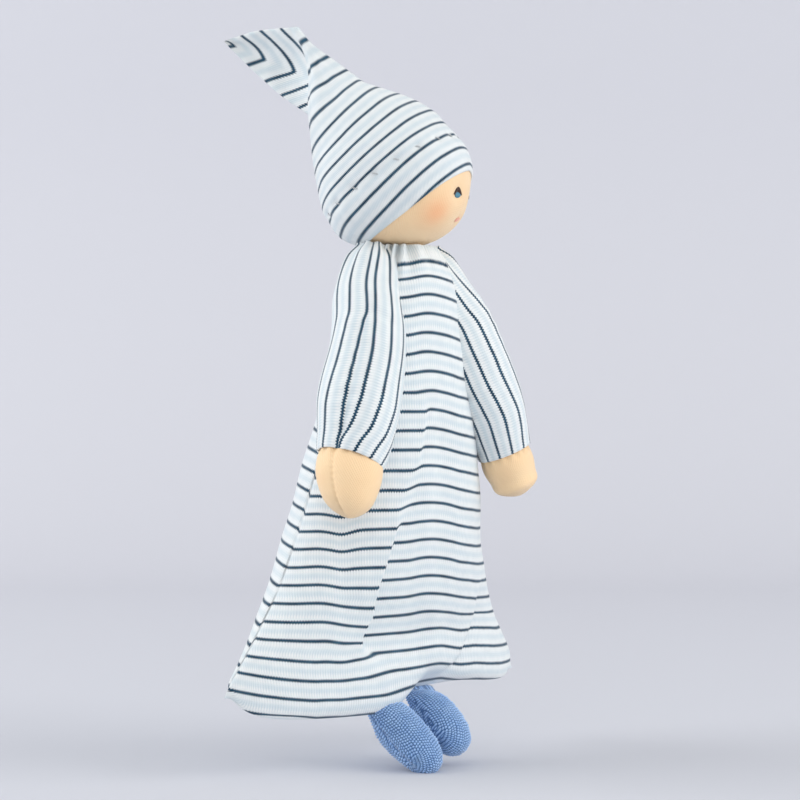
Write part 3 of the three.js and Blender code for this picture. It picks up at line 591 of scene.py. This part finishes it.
def face_press(points):
    """How far the tight stitches draw the skin in: a shallow hollow at each eye and at the mouth."""
    press = np.zeros(points.shape[:-1])
    for angle, (height, depth, width) in ((-EYE_ANGLE, EYE_HOLLOW), (EYE_ANGLE, EYE_HOLLOW), (0.0, MOUTH_HOLLOW)):
        away = np.linalg.norm(points - face_spot(angle, height), axis=-1)
        press += depth * bell(away, 0.0, width)
    return press


def stitches_on_face(angle, across, up, lift, height):
    """Stitches that follow the skin into its hollow."""
    skin = on_face(angle, height, across, up, np.zeros(across.shape))
    return in_doll_frame(on_face(angle, height, across, up, lift - face_press(skin)))


def head():
    """The head's skin is the fuller ellipsoid over rows from crown to chin and columns round it, drawn in a
    little where stitches pull at the eyes and the mouth and where the hood holds it. Each cheek has a soft
    round blush."""
    polar, around = np.meshgrid(np.linspace(0.02, np.pi - 0.02, 130), turns(180), indexing="ij")
    direction = np.stack([np.sin(polar) * np.cos(around), np.sin(polar) * np.sin(around), np.cos(polar)], -1)
    skin = HEAD_MIDDLE + direction * head_reach(direction)[..., None]
    blush = np.zeros(polar.shape)
    for side in (-1.0, 1.0):
        cheek = face_spot(side * CHEEK_ANGLE, CHEEK_HEIGHT)
        blush += 0.55 * bell(np.linalg.norm(skin - cheek, axis=-1), 0.0, 6.6)
    press = face_press(skin) + 1.2 * ease((skin - HEAD_MIDDLE).dot(HOOD_AXIS), -12.0, -6.0)
    points = in_doll_frame(skin - direction * press[..., None])
    closed = once_round(points)
    across = np.repeat(HEAD_ROUND * np.append(around[0], 2.0 * np.pi)[None], len(points), 0)
    along = steps_along(closed, 0)
    piece = tube_piece("head", points, np.stack([across, along], -1), PEACH, [("blush", blush)])
    finish_piece(piece, "head", ["head_skin", "head_gauze", "head_filling", "neck_tie_thread"])


def neck():
    """The neck is a rounded post turned about its axis, hidden between the head and the gown."""
    turn = np.linspace(-0.45, np.pi / 2.0 - 0.05, 16)
    radius = np.concatenate([[9.0, 9.0], 10.0 * np.cos(turn)])
    height = np.concatenate([[-26.0, -14.0], 10.0 * np.sin(turn)])
    around = turns(48)
    points = np.stack(np.broadcast_arrays(radius[:, None] * np.cos(around), radius[:, None] * np.sin(around),
                                          height[:, None] + NECK_PIVOT - GRIP), -1)
    closed = once_round(points)
    uv = np.stack([steps_along(closed, 1), steps_along(closed, 0)], -1)
    piece = tube_piece("neck", points, uv, PEACH, [("blush", np.zeros(points.shape[:2]))])
    finish_piece(piece, "neck", ["neck_stub"])


def eye_threads(side, prefix):
    """Satin stitches of one eye: lash threads fan from the top of the iris to the edge of a pointed tent, and
    short upright threads fill the iris."""
    t = np.linspace(0.0, 1.0, 29)
    turn = np.pi * t
    inner = np.stack([2.2 * np.cos(turn), np.sin(turn)], -1)
    half = np.abs(2.0 * t - 1.0)
    outer = np.stack([3.6 * np.sign(1.0 - 2.0 * t) * half ** 0.95, 3.4 - 3.2 * half ** 1.7], -1)
    along = np.linspace(0.0, 1.0, 9)
    path = inner[:, None] + (outer - inner)[:, None] * along[:, None]
    lift = 0.12 + 0.14 * np.sin(np.pi * along) + 0.05 * np.sin(9.0 * t)[:, None]
    lash = stitches_on_face(side * EYE_ANGLE, path[..., 0], path[..., 1], lift, EYE_HEIGHT)
    piece = strand_piece(prefix + "_lash", lash, 0.3, LASH)
    finish_piece(piece, "head", [prefix + "_lash"])

    column = np.linspace(-2.1, 2.1, 11)[:, None]
    reach = 1.3 * np.sqrt(1.0 - (column / 2.45) ** 2)
    up = -0.15 + reach * (2.0 * along - 1.0)
    lift = 0.14 + 0.18 * np.sin(np.pi * along) + 0.0 * column
    iris = stitches_on_face(side * EYE_ANGLE, column + 0.0 * along, up, lift, EYE_HEIGHT)
    piece = strand_piece(prefix + "_iris", iris, 0.28, IRIS)
    finish_piece(piece, "head", [prefix + "_iris"])


def mouth_threads():
    """The mouth is a small pad of threads, the middle ones longest, that rise towards the doll's left."""
    row = np.linspace(-0.7, 0.7, 5)[:, None]
    along = np.linspace(-1.0, 1.0, 9)
    across = 2.5 * np.sqrt(1.0 - (row / 1.1) ** 2) * along
    lift = 0.2 + 0.25 * (1.0 - along ** 2) + 0.0 * row
    path = stitches_on_face(0.0, across, row + 0.32 * across, lift, MOUTH_HEIGHT)
    piece = strand_piece("mouth", path, 0.3, MOUTH)
    finish_piece(piece, "head", ["mouth_stitch"])


# Hood

HOOD_EDGE, HOOD_LENGTH = -16.0, 82.0
HOOD_EASE = 1.1
STITCH_LEVEL = 0.0
# How far the hood reaches lower than at the forehead, by the angle from the back in degrees
hood_drop = curve((0, 2.0), (45, 4.2), (90, 4.5), (135, 2.2), (180, 0))
# Radius of the hood's cone by level, down its front and down its back
hood_front = curve((-20, 27), (-13, 29.5), (-5, 32), (4, 32.7), (12.4, 32.3), (20, 29.5), (26, 26.2), (33, 21.4),
                   (40, 16.2), (44, 13.4), (52, 10.4), (61, 6.8), (71, 3.0), (78.5, 1.7), (HOOD_LENGTH, 1.5))
hood_back = curve((-20, 27), (-13, 29.5), (-5, 32.2), (3.2, 32.8), (12.5, 30.6), (21, 27.6), (30, 23.8), (40, 19.1),
                  (48.6, 14.5), (54, 10.6), (62, 5.3), (70.5, 2.2), (HOOD_LENGTH, 1.5))


def hood_point(level, angle, inset):
    """A point of the hood at a level along its back-leaning axis and an angle round it from the back (towards
    the doll's left): just outside the head's skin where the head fills it, and on the cone above, with a soft
    change from one to the other."""
    spoke = np.cos(angle)[..., None] * HOOD_BACK + np.sin(angle)[..., None] * np.array([1.0, 0.0, 0.0])
    from_back = np.degrees(np.arccos(np.clip(np.cos(angle), -1.0, 1.0)))
    drop = hood_drop(from_back) * np.clip(level / HOOD_EDGE, 0.0, 1.0)
    low, high = np.zeros(spoke.shape[:-1]), np.full(spoke.shape[:-1], 45.0)
    for _ in range(26):
        tried = (low + high) / 2.0
        offset = (level - drop)[..., None] * HOOD_AXIS + tried[..., None] * spoke
        reach = np.linalg.norm(offset, axis=-1)
        inside = reach < head_reach(offset / np.maximum(reach, 1e-9)[..., None])
        low, high = np.where(inside, tried, low), np.where(inside, high, tried)
    back_share = 0.5 + 0.5 * np.cos(angle)
    cone = hood_front(level) * (1.0 - back_share) + hood_back(level) * back_share
    over_head = low + HOOD_EASE
    radius = 0.5 * (over_head + cone + np.sqrt((over_head - cone) ** 2 + 0.8)) - inset
    return HEAD_MIDDLE + (level - drop)[..., None] * HOOD_AXIS + np.maximum(radius, 0.1)[..., None] * spoke


def hood_row(level, angle):
    """Stripe rows of the hood in mm: close together low on the hood, wider apart on the cone, and lower at the
    back than at the front except near the tip."""
    rise = level / 40.0
    back = np.cos(angle)
    tilt = np.minimum(rise, 1.3)
    slant = (-5.9 - 2.0 * tilt + 5.3 * tilt ** 2) * back + (0.4 + 1.5 * tilt) * back ** 2
    return 77.3 - 49.8 * rise + 6.9 * rise ** 2 + slant * (1.0 - ease(level, 40.0, 58.0))


def stitch_angles():
    """Angles round the hood of the stitches that hold it to the head, about 11 mm apart."""
    return 2.0 * np.pi * (np.arange(19) + 0.3) / 19.0


def hood():
    """The hood's outer face runs from the tip down its cone and over the head to the edge, then turns in and
    back up as its inner face. Stitches press small dimples, and soft pleats run to the tip. The cloth
    coordinates are the length round it and the level along its axis."""
    columns = 240
    roll = np.linspace(0.0, np.pi, 8)[1:-1]
    down = np.linspace(HOOD_LENGTH, HOOD_EDGE + 0.7, 165)
    outer = np.concatenate([[HOOD_LENGTH + 0.9, HOOD_LENGTH + 0.5], down])
    inner = np.linspace(HOOD_EDGE + 0.7, HOOD_LENGTH - 6.0, 40)
    level = np.concatenate([outer, HOOD_EDGE + 0.7 - 0.7 * np.sin(roll), inner])
    inset = np.concatenate([[1.35, 0.55], 0.0 * down, 0.6 - 0.6 * np.cos(roll), np.full(40, 1.2)])
    level, angle = np.meshgrid(level, turns(columns), indexing="ij")
    inset = np.repeat(inset[:, None], columns, 1)
    face = np.arange(len(level))[:, None] < len(outer) + 3
    turn = np.abs(((angle[..., None] - stitch_angles() + np.pi) % (2.0 * np.pi)) - np.pi).min(-1)
    dimple = bell(level, STITCH_LEVEL, 2.0) * bell(turn * HEAD_ROUND, 0.0, 2.2)
    dimple = dimple + 0.3 * bell(level, STITCH_LEVEL, 2.2)
    pleat = 0.5 * between(level, 22.0, 50.0, 66.0, 80.0) * np.cos(5.0 * angle + 0.05 * level)
    wave = 0.5 * ripple(HEAD_ROUND * angle, level, 11, length=26.0) * between(level, 2.0, 12.0, 60.0, 76.0)
    press = np.where(face, dimple + pleat + wave, 0.0)
    points = in_doll_frame(hood_point(level, angle, inset + press))
    closed = once_round(points)
    round_ring = steps_along(closed, 1)
    across = round_ring - round_ring[:, [columns // 2]]
    along = hood_row(once_round(level), np.append(angle[0], 2.0 * np.pi)[None] * np.ones((len(level), 1)))
    piece = tube_piece("hood", points, np.stack([1.6 * across, along], -1), JERSEY)
    finish_piece(piece, "head", ["hood_cover", "hood_filling"])

    # Stitches across the dimples
    at = stitch_angles()
    along = np.linspace(-1.0, 1.0, 9)
    lie = hood_point(STITCH_LEVEL + 0.9 * along + 0.0 * at[:, None], at[:, None] + 0.03 * along,
                     1.25 - 0.55 * np.cos(along * np.pi / 2.0) + 0.0 * at[:, None])
    piece = strand_piece("hood_stitches", in_doll_frame(lie), 0.3, THREAD)
    finish_piece(piece, "head", ["hood_sewing_thread"])


TAIL_LOW, TAIL_HIGH, TAIL_LENGTH, TAIL_RISE, TAIL_TROUGH = 46.0, 84.0, 39.5, 17.0, 7.0
TAIL_TURN = np.radians(15.0)
TAIL_VALLEY = 0.36
TAIL_THICKNESS = 3.0


def from_valley(up):
    """Place across the folded tip: 0 in its valley and 1 at both edges."""
    return np.where(up > TAIL_VALLEY, (up - TAIL_VALLEY) / (1.0 - TAIL_VALLEY), (TAIL_VALLEY - up) / TAIL_VALLEY)


def tail():
    """The hood's folded tip is a trough: its cross-section is a soft V from the lower edge of the fold up to the
    upper edge, deepest near the fold, and it tapers to a point. Both faces lie half a thickness from it."""
    back = np.array([np.sin(TAIL_TURN), np.cos(TAIL_TURN), 0.0])
    side = np.array([back[1], -back[0], 0.0])
    zero = np.zeros(1)
    low = hood_point(zero + TAIL_LOW, zero, zero - 0.3)[0]
    high = hood_point(zero + TAIL_HIGH, zero, zero - 0.3)[0]
    tip = 0.5 * (low + high) + TAIL_LENGTH * back + TAIL_RISE * UP
    share = np.concatenate([[-0.08, -0.04], np.linspace(0.0, 0.985, 56)])
    share, up = np.meshgrid(share, np.linspace(0.0, 1.0, 44), indexing="ij")
    base = hood_point(TAIL_LOW + (TAIL_HIGH - TAIL_LOW) * up, 0.0 * up, 0.3 + 0.0 * up)
    line = base + (tip - base) * share[..., None]
    down = unit(low - high)
    bow = 3.0 * np.maximum(1.0 - 2.0 * up, 0.0) - 1.5 * np.maximum(2.0 * up - 1.0, 0.0)
    line = line + (bow * np.sin(np.pi * np.clip(share, 0.0, 1.0)))[..., None] * down
    v_shape = 1.0 - np.sqrt(from_valley(up) ** 2 + 0.012) / np.sqrt(1.012)
    trough = TAIL_TROUGH * np.sin(np.pi * np.sqrt(np.clip(share, 0.0, 1.0))) * v_shape
    trough += 0.5 * ripple(40.0 * share, 38.0 * up, 21, length=16.0) * ease(share, 0.05, 0.3)
    centre = line + trough[..., None] * side
    half = 0.5 * TAIL_THICKNESS * np.sqrt(np.clip(1.0 - (2.0 * up - 1.0) ** 12, 0.02, 1.0))
    half = half * (0.35 + 0.65 * ease(share, -0.08, 0.1)) * (1.0 - 0.6 * ease(share, 0.9, 1.0))
    points = np.concatenate([centre + half[..., None] * side, (centre - half[..., None] * side)[:, ::-1]], 1)
    points = in_doll_frame(points)
    both = once_round(np.concatenate([up, up[:, ::-1]], 1))
    shares = once_round(np.concatenate([share, share], 1))
    edge_row = np.where(both > TAIL_VALLEY, 12.8 + 28.0 * shares, 2.9 + 41.5 * shares)
    row = (18.4 + 26.0 * shares) * (1.0 - from_valley(both)) + edge_row * from_valley(both)
    across = 62.0 * (both - 0.5) * (1.0 - 0.6 * shares)
    piece = tube_piece("hood_tail_cloth", points, np.stack([across, row], -1), JERSEY)
    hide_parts("hood_tail")
    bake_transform(piece)


# Arms and hands

ARM_LENGTH = 96.0
ARM_FACING = np.radians(43.0)
SHOULDER_POINT = np.array([-15.0, -1.5, GOWN_LENGTH - GRIP])
arm_along = unit(np.array([-np.tan(np.radians(20.2)), -np.tan(np.radians(10.8)), -1.0]))
arm_out = np.array([-np.cos(ARM_FACING), -np.sin(ARM_FACING), 0.0])
arm_out = unit(arm_out - arm_out.dot(arm_along) * arm_along)
arm_across = np.cross(arm_along, arm_out)
SLEEVE_ROUND = 15.0
sleeve_half_width = curve((0, 7.5), (0.07, 11.8), (0.2, 14.6), (0.45, 16.3), (0.76, 17.9), (0.94, 15.8), (1, 14.6))
sleeve_half_thickness = curve((0, 5.5), (0.07, 8), (0.45, 13.3), (0.76, 14), (1, 12))
# How much fuller the sleeve's outer face is than its inner one
sleeve_fullness = curve((0, 1.0), (0.05, 2.4), (0.2, 3.6), (0.36, 4.9), (0.53, 4.5), (0.71, 3.9), (0.85, 3.0),
                        (0.95, 1.8), (1, 1.2))
# How far the sleeve's middle lies to the back of its line
sleeve_shift = curve((0, 2.0), (0.2, 1.6), (0.4, -0.4), (0.55, -1.1), (0.75, -0.5), (1, 0))
# Angles round the right sleeve, from its inner front edge: the stripes on both sides of its seam, and the seam
stripe_before = curve((0, 73), (0.18, 79), (0.31, 79), (0.46, 79), (0.58, 80), (0.74, 83), (0.82, 87), (0.89, 93),
                      (0.95, 104), (1, 111))
stripe_behind = curve((0, 90), (0.11, 92), (0.21, 94), (0.31, 93), (0.38, 92.5), (0.43, 97), (0.51, 102), (0.59, 104),
                      (0.71, 106), (0.82, 108), (0.92, 110), (1, 115))
sleeve_seam = curve((0, 84), (0.31, 88), (0.38, 88), (0.43, 93), (0.51, 98), (0.71, 102), (0.82, 104),
                    (0.92, 107.5), (1, 113))
# and of one stripe on the left sleeve
left_stripe = curve((0, 8), (0.21, 28), (0.3, 34), (0.37, 39), (0.46, 40), (0.56, 42), (0.66, 44), (0.76, 48),
                    (0.84, 50), (1, 44))
LEFT_STRIPE_STEP = 29.0
STRIPES_ROUND = 12.0


def arm_point(distance, across, out, side):
    """A point of an arm from the distance down it, across it and out from it; side -1 is the doll's right."""
    point = (SHOULDER_POINT + distance[..., None] * arm_along + across[..., None] * arm_across
             + out[..., None] * arm_out)
    return point * np.array([-side, 1.0, 1.0])


def sleeve(name, side):
    """A sleeve is a stuffed tube: an oval at each share of its length, drawn in at the seam that runs down it,
    with pleats at the shoulder and soft creases. It turns in at the cuff. The cloth coordinates are the
    length down it, across the ribs, and the stripes counted round it from the seam to the seam."""
    share = np.concatenate([np.linspace(-0.01, 1.0, 190), [1.004, 1.004, 1.0, 0.97, 0.9, 0.82]])
    inset = np.concatenate([np.zeros(190), [0.35, 0.9, 1.2, 1.3, 1.4, 1.5]])
    columns = 192
    full_turn = np.radians(np.linspace(0.0, -360.0, columns + 1))
    seam = np.radians(sleeve_seam(share))
    share, turn = np.meshgrid(share, full_turn[:-1], indexing="ij")
    inset = np.repeat(inset[:, None], columns, 1)
    angle = turn + seam[:, None]
    distance = share * ARM_LENGTH + np.where(side < 0, 1.8 + 2.5 * np.cos(angle), 0.0) * ease(share, 0.6, 1.0)
    from_seam = SLEEVE_ROUND * np.minimum(np.abs(turn), 2.0 * np.pi + turn)
    groove = 0.75 * bell(from_seam, 0.0, 2.2) * ease(share, 0.12, 0.5)
    groove = groove + 0.5 * bell(from_seam, 0.0, 6.0) * ease(share, 0.1, 0.5)
    pucker = 0.25 * np.cos(distance * 2.0 * np.pi / 7.5) * bell(from_seam, 0.0, 5.0) * ease(share, 0.2, 0.4)
    pleats = 0.8 * np.cos(9.0 * angle + 1.0) * (1.0 - ease(share, 0.03, 0.28))
    crease = bell(distance - 9.0 * np.cos(angle), 34.0, 3.5) * bell(angle, np.radians(95.0), 0.7) * (side < 0)
    waves = 0.6 * ripple(SLEEVE_ROUND * angle, distance, 31, length=30.0) * between(share, 0.1, 0.3, 0.92, 1.0)
    press = inset + groove + pucker - pleats + crease - waves
    wide = (sleeve_half_width(share) - press) * -np.cos(angle) + sleeve_shift(share)
    fuller = sleeve_fullness(share) * np.maximum(np.sin(angle), 0.0)
    thick = (sleeve_half_thickness(share) - press + fuller) * np.sin(angle)
    points = arm_point(distance, wide, thick, side)
    column = full_turn + seam[:, None]
    rows = np.repeat(share[:, :1], columns + 1, 1)
    first, last = np.radians(stripe_before(rows)), np.radians(stripe_behind(rows) - 360.0)
    if side > 0:
        first = np.radians(left_stripe(rows))
        last = first - np.radians(LEFT_STRIPE_STEP * STRIPES_ROUND)
    stripes = STRIPE * STRIPES_ROUND * (first - column) / (first - last)
    uv = np.stack([rows * ARM_LENGTH, stripes], -1)
    piece = tube_piece(name + "_sleeve_cloth", points, uv, JERSEY)
    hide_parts(name + "_sleeve", name + "_arm_filling")
    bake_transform(piece)


# A hand starts inside the cuff, and past the cuff its fingertip rounds off to its end
HAND_START, FINGERTIP, HAND_END = -14.0, 20.0, 25.6
hand_half_width = curve((HAND_START, 0.5), (-10, 8), (-3, 12.4), (0, 13.1), (5, 14.2), (11, 13.6), (17, 11.2),
                        (22, 7.4), (24.6, 3.4), (HAND_END, 0.4))
hand_half_thickness = curve((HAND_START, 0.5), (-10, 7), (-3, 10.2), (0, 10.8), (5, 11.8), (11, 11.4), (17, 9.3),
                            (22, 6.2), (24.6, 3.0), (HAND_END, 0.4))


def hand(name, side, length, blunt):
    """A hand is a rounded bag on the arm's line: an oval at each distance past the cuff, gathered at the wrist,
    with a sewn seam down it that bends round the fingertip. A blunt hand is fuller near its end."""
    columns = 144
    tip = np.sin(np.linspace(0.0, np.pi / 2.0, 32)[1:])
    past = np.concatenate([np.linspace(HAND_START, FINGERTIP, 80), FINGERTIP + (HAND_END - FINGERTIP) * tip])
    past, turn = np.meshgrid(past, np.radians(np.linspace(0.0, -360.0, columns + 1))[:-1], indexing="ij")
    angle = turn + np.radians(120.0)
    from_seam = 12.0 * np.minimum(np.abs(turn), 2.0 * np.pi + turn)
    seam = 0.5 * bell(from_seam, 0.0, 0.8) * ease(past, -6.0, 0.0) + 0.15 * bell(from_seam, 0.0, 4.0)
    stitches = 0.14 * np.cos(past * 2.0 * np.pi / 2.3) * bell(from_seam, 0.0, 1.6)
    gathers = 0.45 * np.cos(15.0 * angle) * (1.0 - ease(past, 0.0, 5.5))
    press = (seam + stitches + gathers) * ease(HAND_END - past, 0.0, 3.0)
    fuller = 1.0 + blunt * bell(past, 21.0, 4.5)
    wide = np.maximum(hand_half_width(past) * fuller - press, 0.2) * -np.cos(angle)
    thick = np.maximum(hand_half_thickness(past) * fuller - press, 0.2) * np.sin(angle)
    wide = wide - 0.004 * np.maximum(past, 0.0) ** 2
    reach = np.where(past > 0.0, past * length / HAND_END, past)
    points = arm_point(ARM_LENGTH + reach, wide, thick, side)
    closed = once_round(points)
    round_ring = steps_along(closed, 1)
    rows = np.repeat(past[:, :1], columns + 1, 1)
    uv = np.stack([0.85 * round_ring - 0.5 * rows, 0.85 * rows + 0.5 * round_ring], -1)
    piece = tube_piece(name + "_hand", points, uv, PEACH, [("blush", np.zeros(points.shape[:2]))])
    finish_piece(piece, name + "_hand",
                 [name + "_hand_skin", name + "_hand_filling", name + "_hand_tie"])


# Feet

foot_half_width = curve((0, 9.6), (0.3, 9.2), (0.65, 9.5), (0.86, 7.6), (0.97, 3.8), (1.0, 0.3))
foot_half_height = curve((0, 2.2), (0.3, 8.2), (0.65, 9.0), (0.86, 7.2), (0.97, 3.7), (1.0, 0.3))
FOOT_SPACING = 28.0
FOOT_TOE_IN = np.radians(9.0)
FOOT_ROUND, TOE_ROUND = 9.0, 8.0
LOOP = 1.2
# Half the length of the gown's bottom seam, and of the line on it that the feet's ankles are on
SEAM_HALF, ANKLE_HALF = 88.0, 87.0


def foot(name, side, slope, length):
    """A foot is a stuffed sock that slopes forward and down from the gown's seam: an oval at each share of its
    length, with rows of small loops that run down it and round the toe, each row half a loop from the next."""
    seam = side * FOOT_SPACING / (2.0 * SEAM_HALF)
    ankle = np.array([ANKLE_HALF * seam, SEAM_SETBACK - SEAM_REACH * (1.0 - seam ** 2), -3.2 - GRIP])
    drop = np.radians(slope)
    flat = np.array([-side * np.sin(FOOT_TOE_IN), -np.cos(FOOT_TOE_IN), 0.0])
    along = np.cos(drop) * flat - np.sin(drop) * UP
    across = unit(np.array([1.0, 0.0, 0.0]) - along[0] * along)
    upward = np.cross(across, along)
    share = np.concatenate([[-0.1, -0.06, -0.03], np.linspace(0.0, 0.84, 150),
                            0.84 + 0.16 * np.sin(np.linspace(0, np.pi / 2, 56)[1:])])
    columns = 260
    share, angle = np.meshgrid(share, turns(columns), indexing="ij")
    distance = length * share
    half_width, half_height = foot_half_width(share), foot_half_height(share)
    toe = 0.8 * length
    raised = half_height * np.sin(angle)
    round_toe = TOE_ROUND * np.arctan2(np.maximum(distance - toe, 0.0), np.abs(raised) + 1e-6)
    down_row = np.minimum(distance - toe, 0.0) + round_toe
    down_row = np.where(raised >= 0.0, down_row, TOE_ROUND * np.pi - down_row)
    around = FOOT_ROUND * angle
    uneven = ripple(around, distance, 41 + int(side), length=4.0)
    outer_low = angle - np.radians(90.0 - 75.0 * side)
    row = 9.5 * np.arcsin(np.clip(half_width * np.cos(outer_low) / 9.7, -1.0, 1.0)) / LOOP
    row = row + 0.16 * ripple(around, distance, 51 + int(side), length=4.0)
    down_row = down_row + 0.15 * ripple(around, distance, 61 + int(side), length=3.5)
    count = np.floor(row)
    stagger = 0.5 * count + 0.3 * np.sin(7.3 * count)
    loop = 0.5 + 0.5 * np.cos(2.0 * np.pi * (down_row / (1.1 * LOOP) + stagger) + 0.5 * uneven)
    bead = np.sin(np.pi * (row - count)) ** 0.7 * (0.15 + 0.85 * loop)
    crease = bell(raised, 3.0, 1.5) * ease(side * np.cos(angle), 0.3, 0.9) * ease(share, 0.25, 0.45)
    lift = bead * (0.72 + 0.28 * uneven) * ease(share, 0.0, 0.05) - crease * (1.0 - ease(share, 0.8, 0.92))
    wide = np.maximum(half_width - 0.4 + lift, 0.05) * np.cos(angle)
    sole = 1.0 + 0.36 * bell(share, 0.3, 0.32) * ease(np.sin(angle), 0.0, 1.0)
    high = np.maximum(half_height * sole - 0.4 + lift, 0.05) * np.sin(angle)
    points = ankle + distance[..., None] * along + wide[..., None] * across + high[..., None] * upward
    closed = once_round(points)
    uv = np.stack([steps_along(closed, 1), np.repeat(distance[:, :1], columns + 1, 1)], -1)
    piece = tube_piece(name + "_foot", points, uv, TERRY, [("loops", bead)])
    finish_piece(piece, name + "_foot", [name + "_foot_sock", name + "_foot_filling"])


gown()
head()
neck()
eye_threads(-1.0, "right_eye")
eye_threads(1.0, "left_eye")
mouth_threads()
hood()
tail()
for side_name, side_sign, hand_length, hand_blunt, foot_slope, foot_length in (
        ("right", -1.0, 27.6, 0.06, 41.5, 43.0), ("left", 1.0, 21.0, 0.3, 36.5, 37.2)):
    sleeve(side_name, side_sign)
    hand(side_name, side_sign, hand_length, hand_blunt)
    foot(side_name, side_sign, foot_slope, foot_length)


# Floor, backdrop and light

def sweep():
    """A pale floor that turns up into a backdrop: level behind the doll, then a quarter round that rises past where
    the other views stand. The paper is painted a little paler away from the doll, as painted shade on the floor in
    front of and under it."""
    level, radius, top = 0.9, 0.5, 3.0
    bend = np.linspace(0.0, np.pi / 2.0, 24)
    away = np.concatenate([[-2.5, 0.0, level], level + radius * np.sin(bend), [level + radius]])
    up = np.concatenate([[0.0, 0.0, 0.0], radius - radius * np.cos(bend), [top]])
    paler = np.repeat(np.clip(away / level, 0.0, 1.0), 2)
    across = np.array([-4.0, 4.0])
    away, across = np.meshgrid(away, across, indexing="ij")
    up = np.repeat(up[:, None], 2, 1)
    points = np.stack([DIAGONAL * (away + across), DIAGONAL * (away - across), up + FLOOR - 0.0005], -1)
    points = points.reshape(-1, 3)
    row = np.arange(len(points) // 2 - 1)
    faces = np.stack([2 * row, 2 * row + 1, 2 * row + 3, 2 * row + 2], -1)
    mesh = bpy.data.meshes.new("studio_floor")
    mesh.from_pydata(points.tolist(), [], faces.tolist())
    mesh.polygons.foreach_set("use_smooth", np.ones(len(mesh.polygons), bool))
    f = Finish("studio_paper", 0.95, 0.0)
    mesh.attributes.new("paler", "FLOAT", "POINT").data.foreach_set("value", paler)
    # painted shade: the floor in front of and under the doll is a little darker than the paper further back
    colour = f.mix(f.amount("paler"), (206, 208, 215), (209, 210, 217))
    mesh.materials.append(f.done(colour, f.noise(f.place(), 400.0, 2.0), 0.02))
    floor = bpy.data.objects.new("studio_floor", mesh)
    bpy.context.scene.collection.objects.link(floor)


def lamp(name, place, aim, size, watts, colour):
    """A square area lamp that faces the aim point."""
    light = bpy.data.lights.new(name, "AREA")
    light.size = size
    light.energy = watts
    light.color = colour
    holder = bpy.data.objects.new(name, light)
    place, aim = np.array(place), np.array(aim)
    towards = aim - place
    flat = np.hypot(towards[0], towards[1])
    holder.location = place
    holder.rotation_euler = (np.arctan2(flat, -towards[2]), 0.0, np.arctan2(-towards[0], towards[1]))
    bpy.context.scene.collection.objects.link(holder)


sweep()
lamp("right_lamp", (0.94, -1.63, 0.7), (0.0, 0.0, 0.0), 1.5, 20.0, (1.0, 0.99, 0.97))
lamp("front_lamp", (-1.6, -1.35, 0.35), (0.0, 0.0, -0.03), 1.5, 5.0, (1.0, 0.99, 0.98))
lamp("left_lamp", (-1.32, 1.24, 0.85), (0.0, 0.0, 0.0), 1.5, 21.0, (1.0, 1.0, 1.0))
world = bpy.data.worlds.new("studio")
world.use_nodes = True
sky = world.node_tree.nodes["Background"].inputs
sky["Color"].default_value = (0.98, 0.99, 1.0, 1.0)
sky["Strength"].default_value = 0.72
bpy.context.scene.world = world
bpy.context.scene.view_settings.view_transform = "Standard"
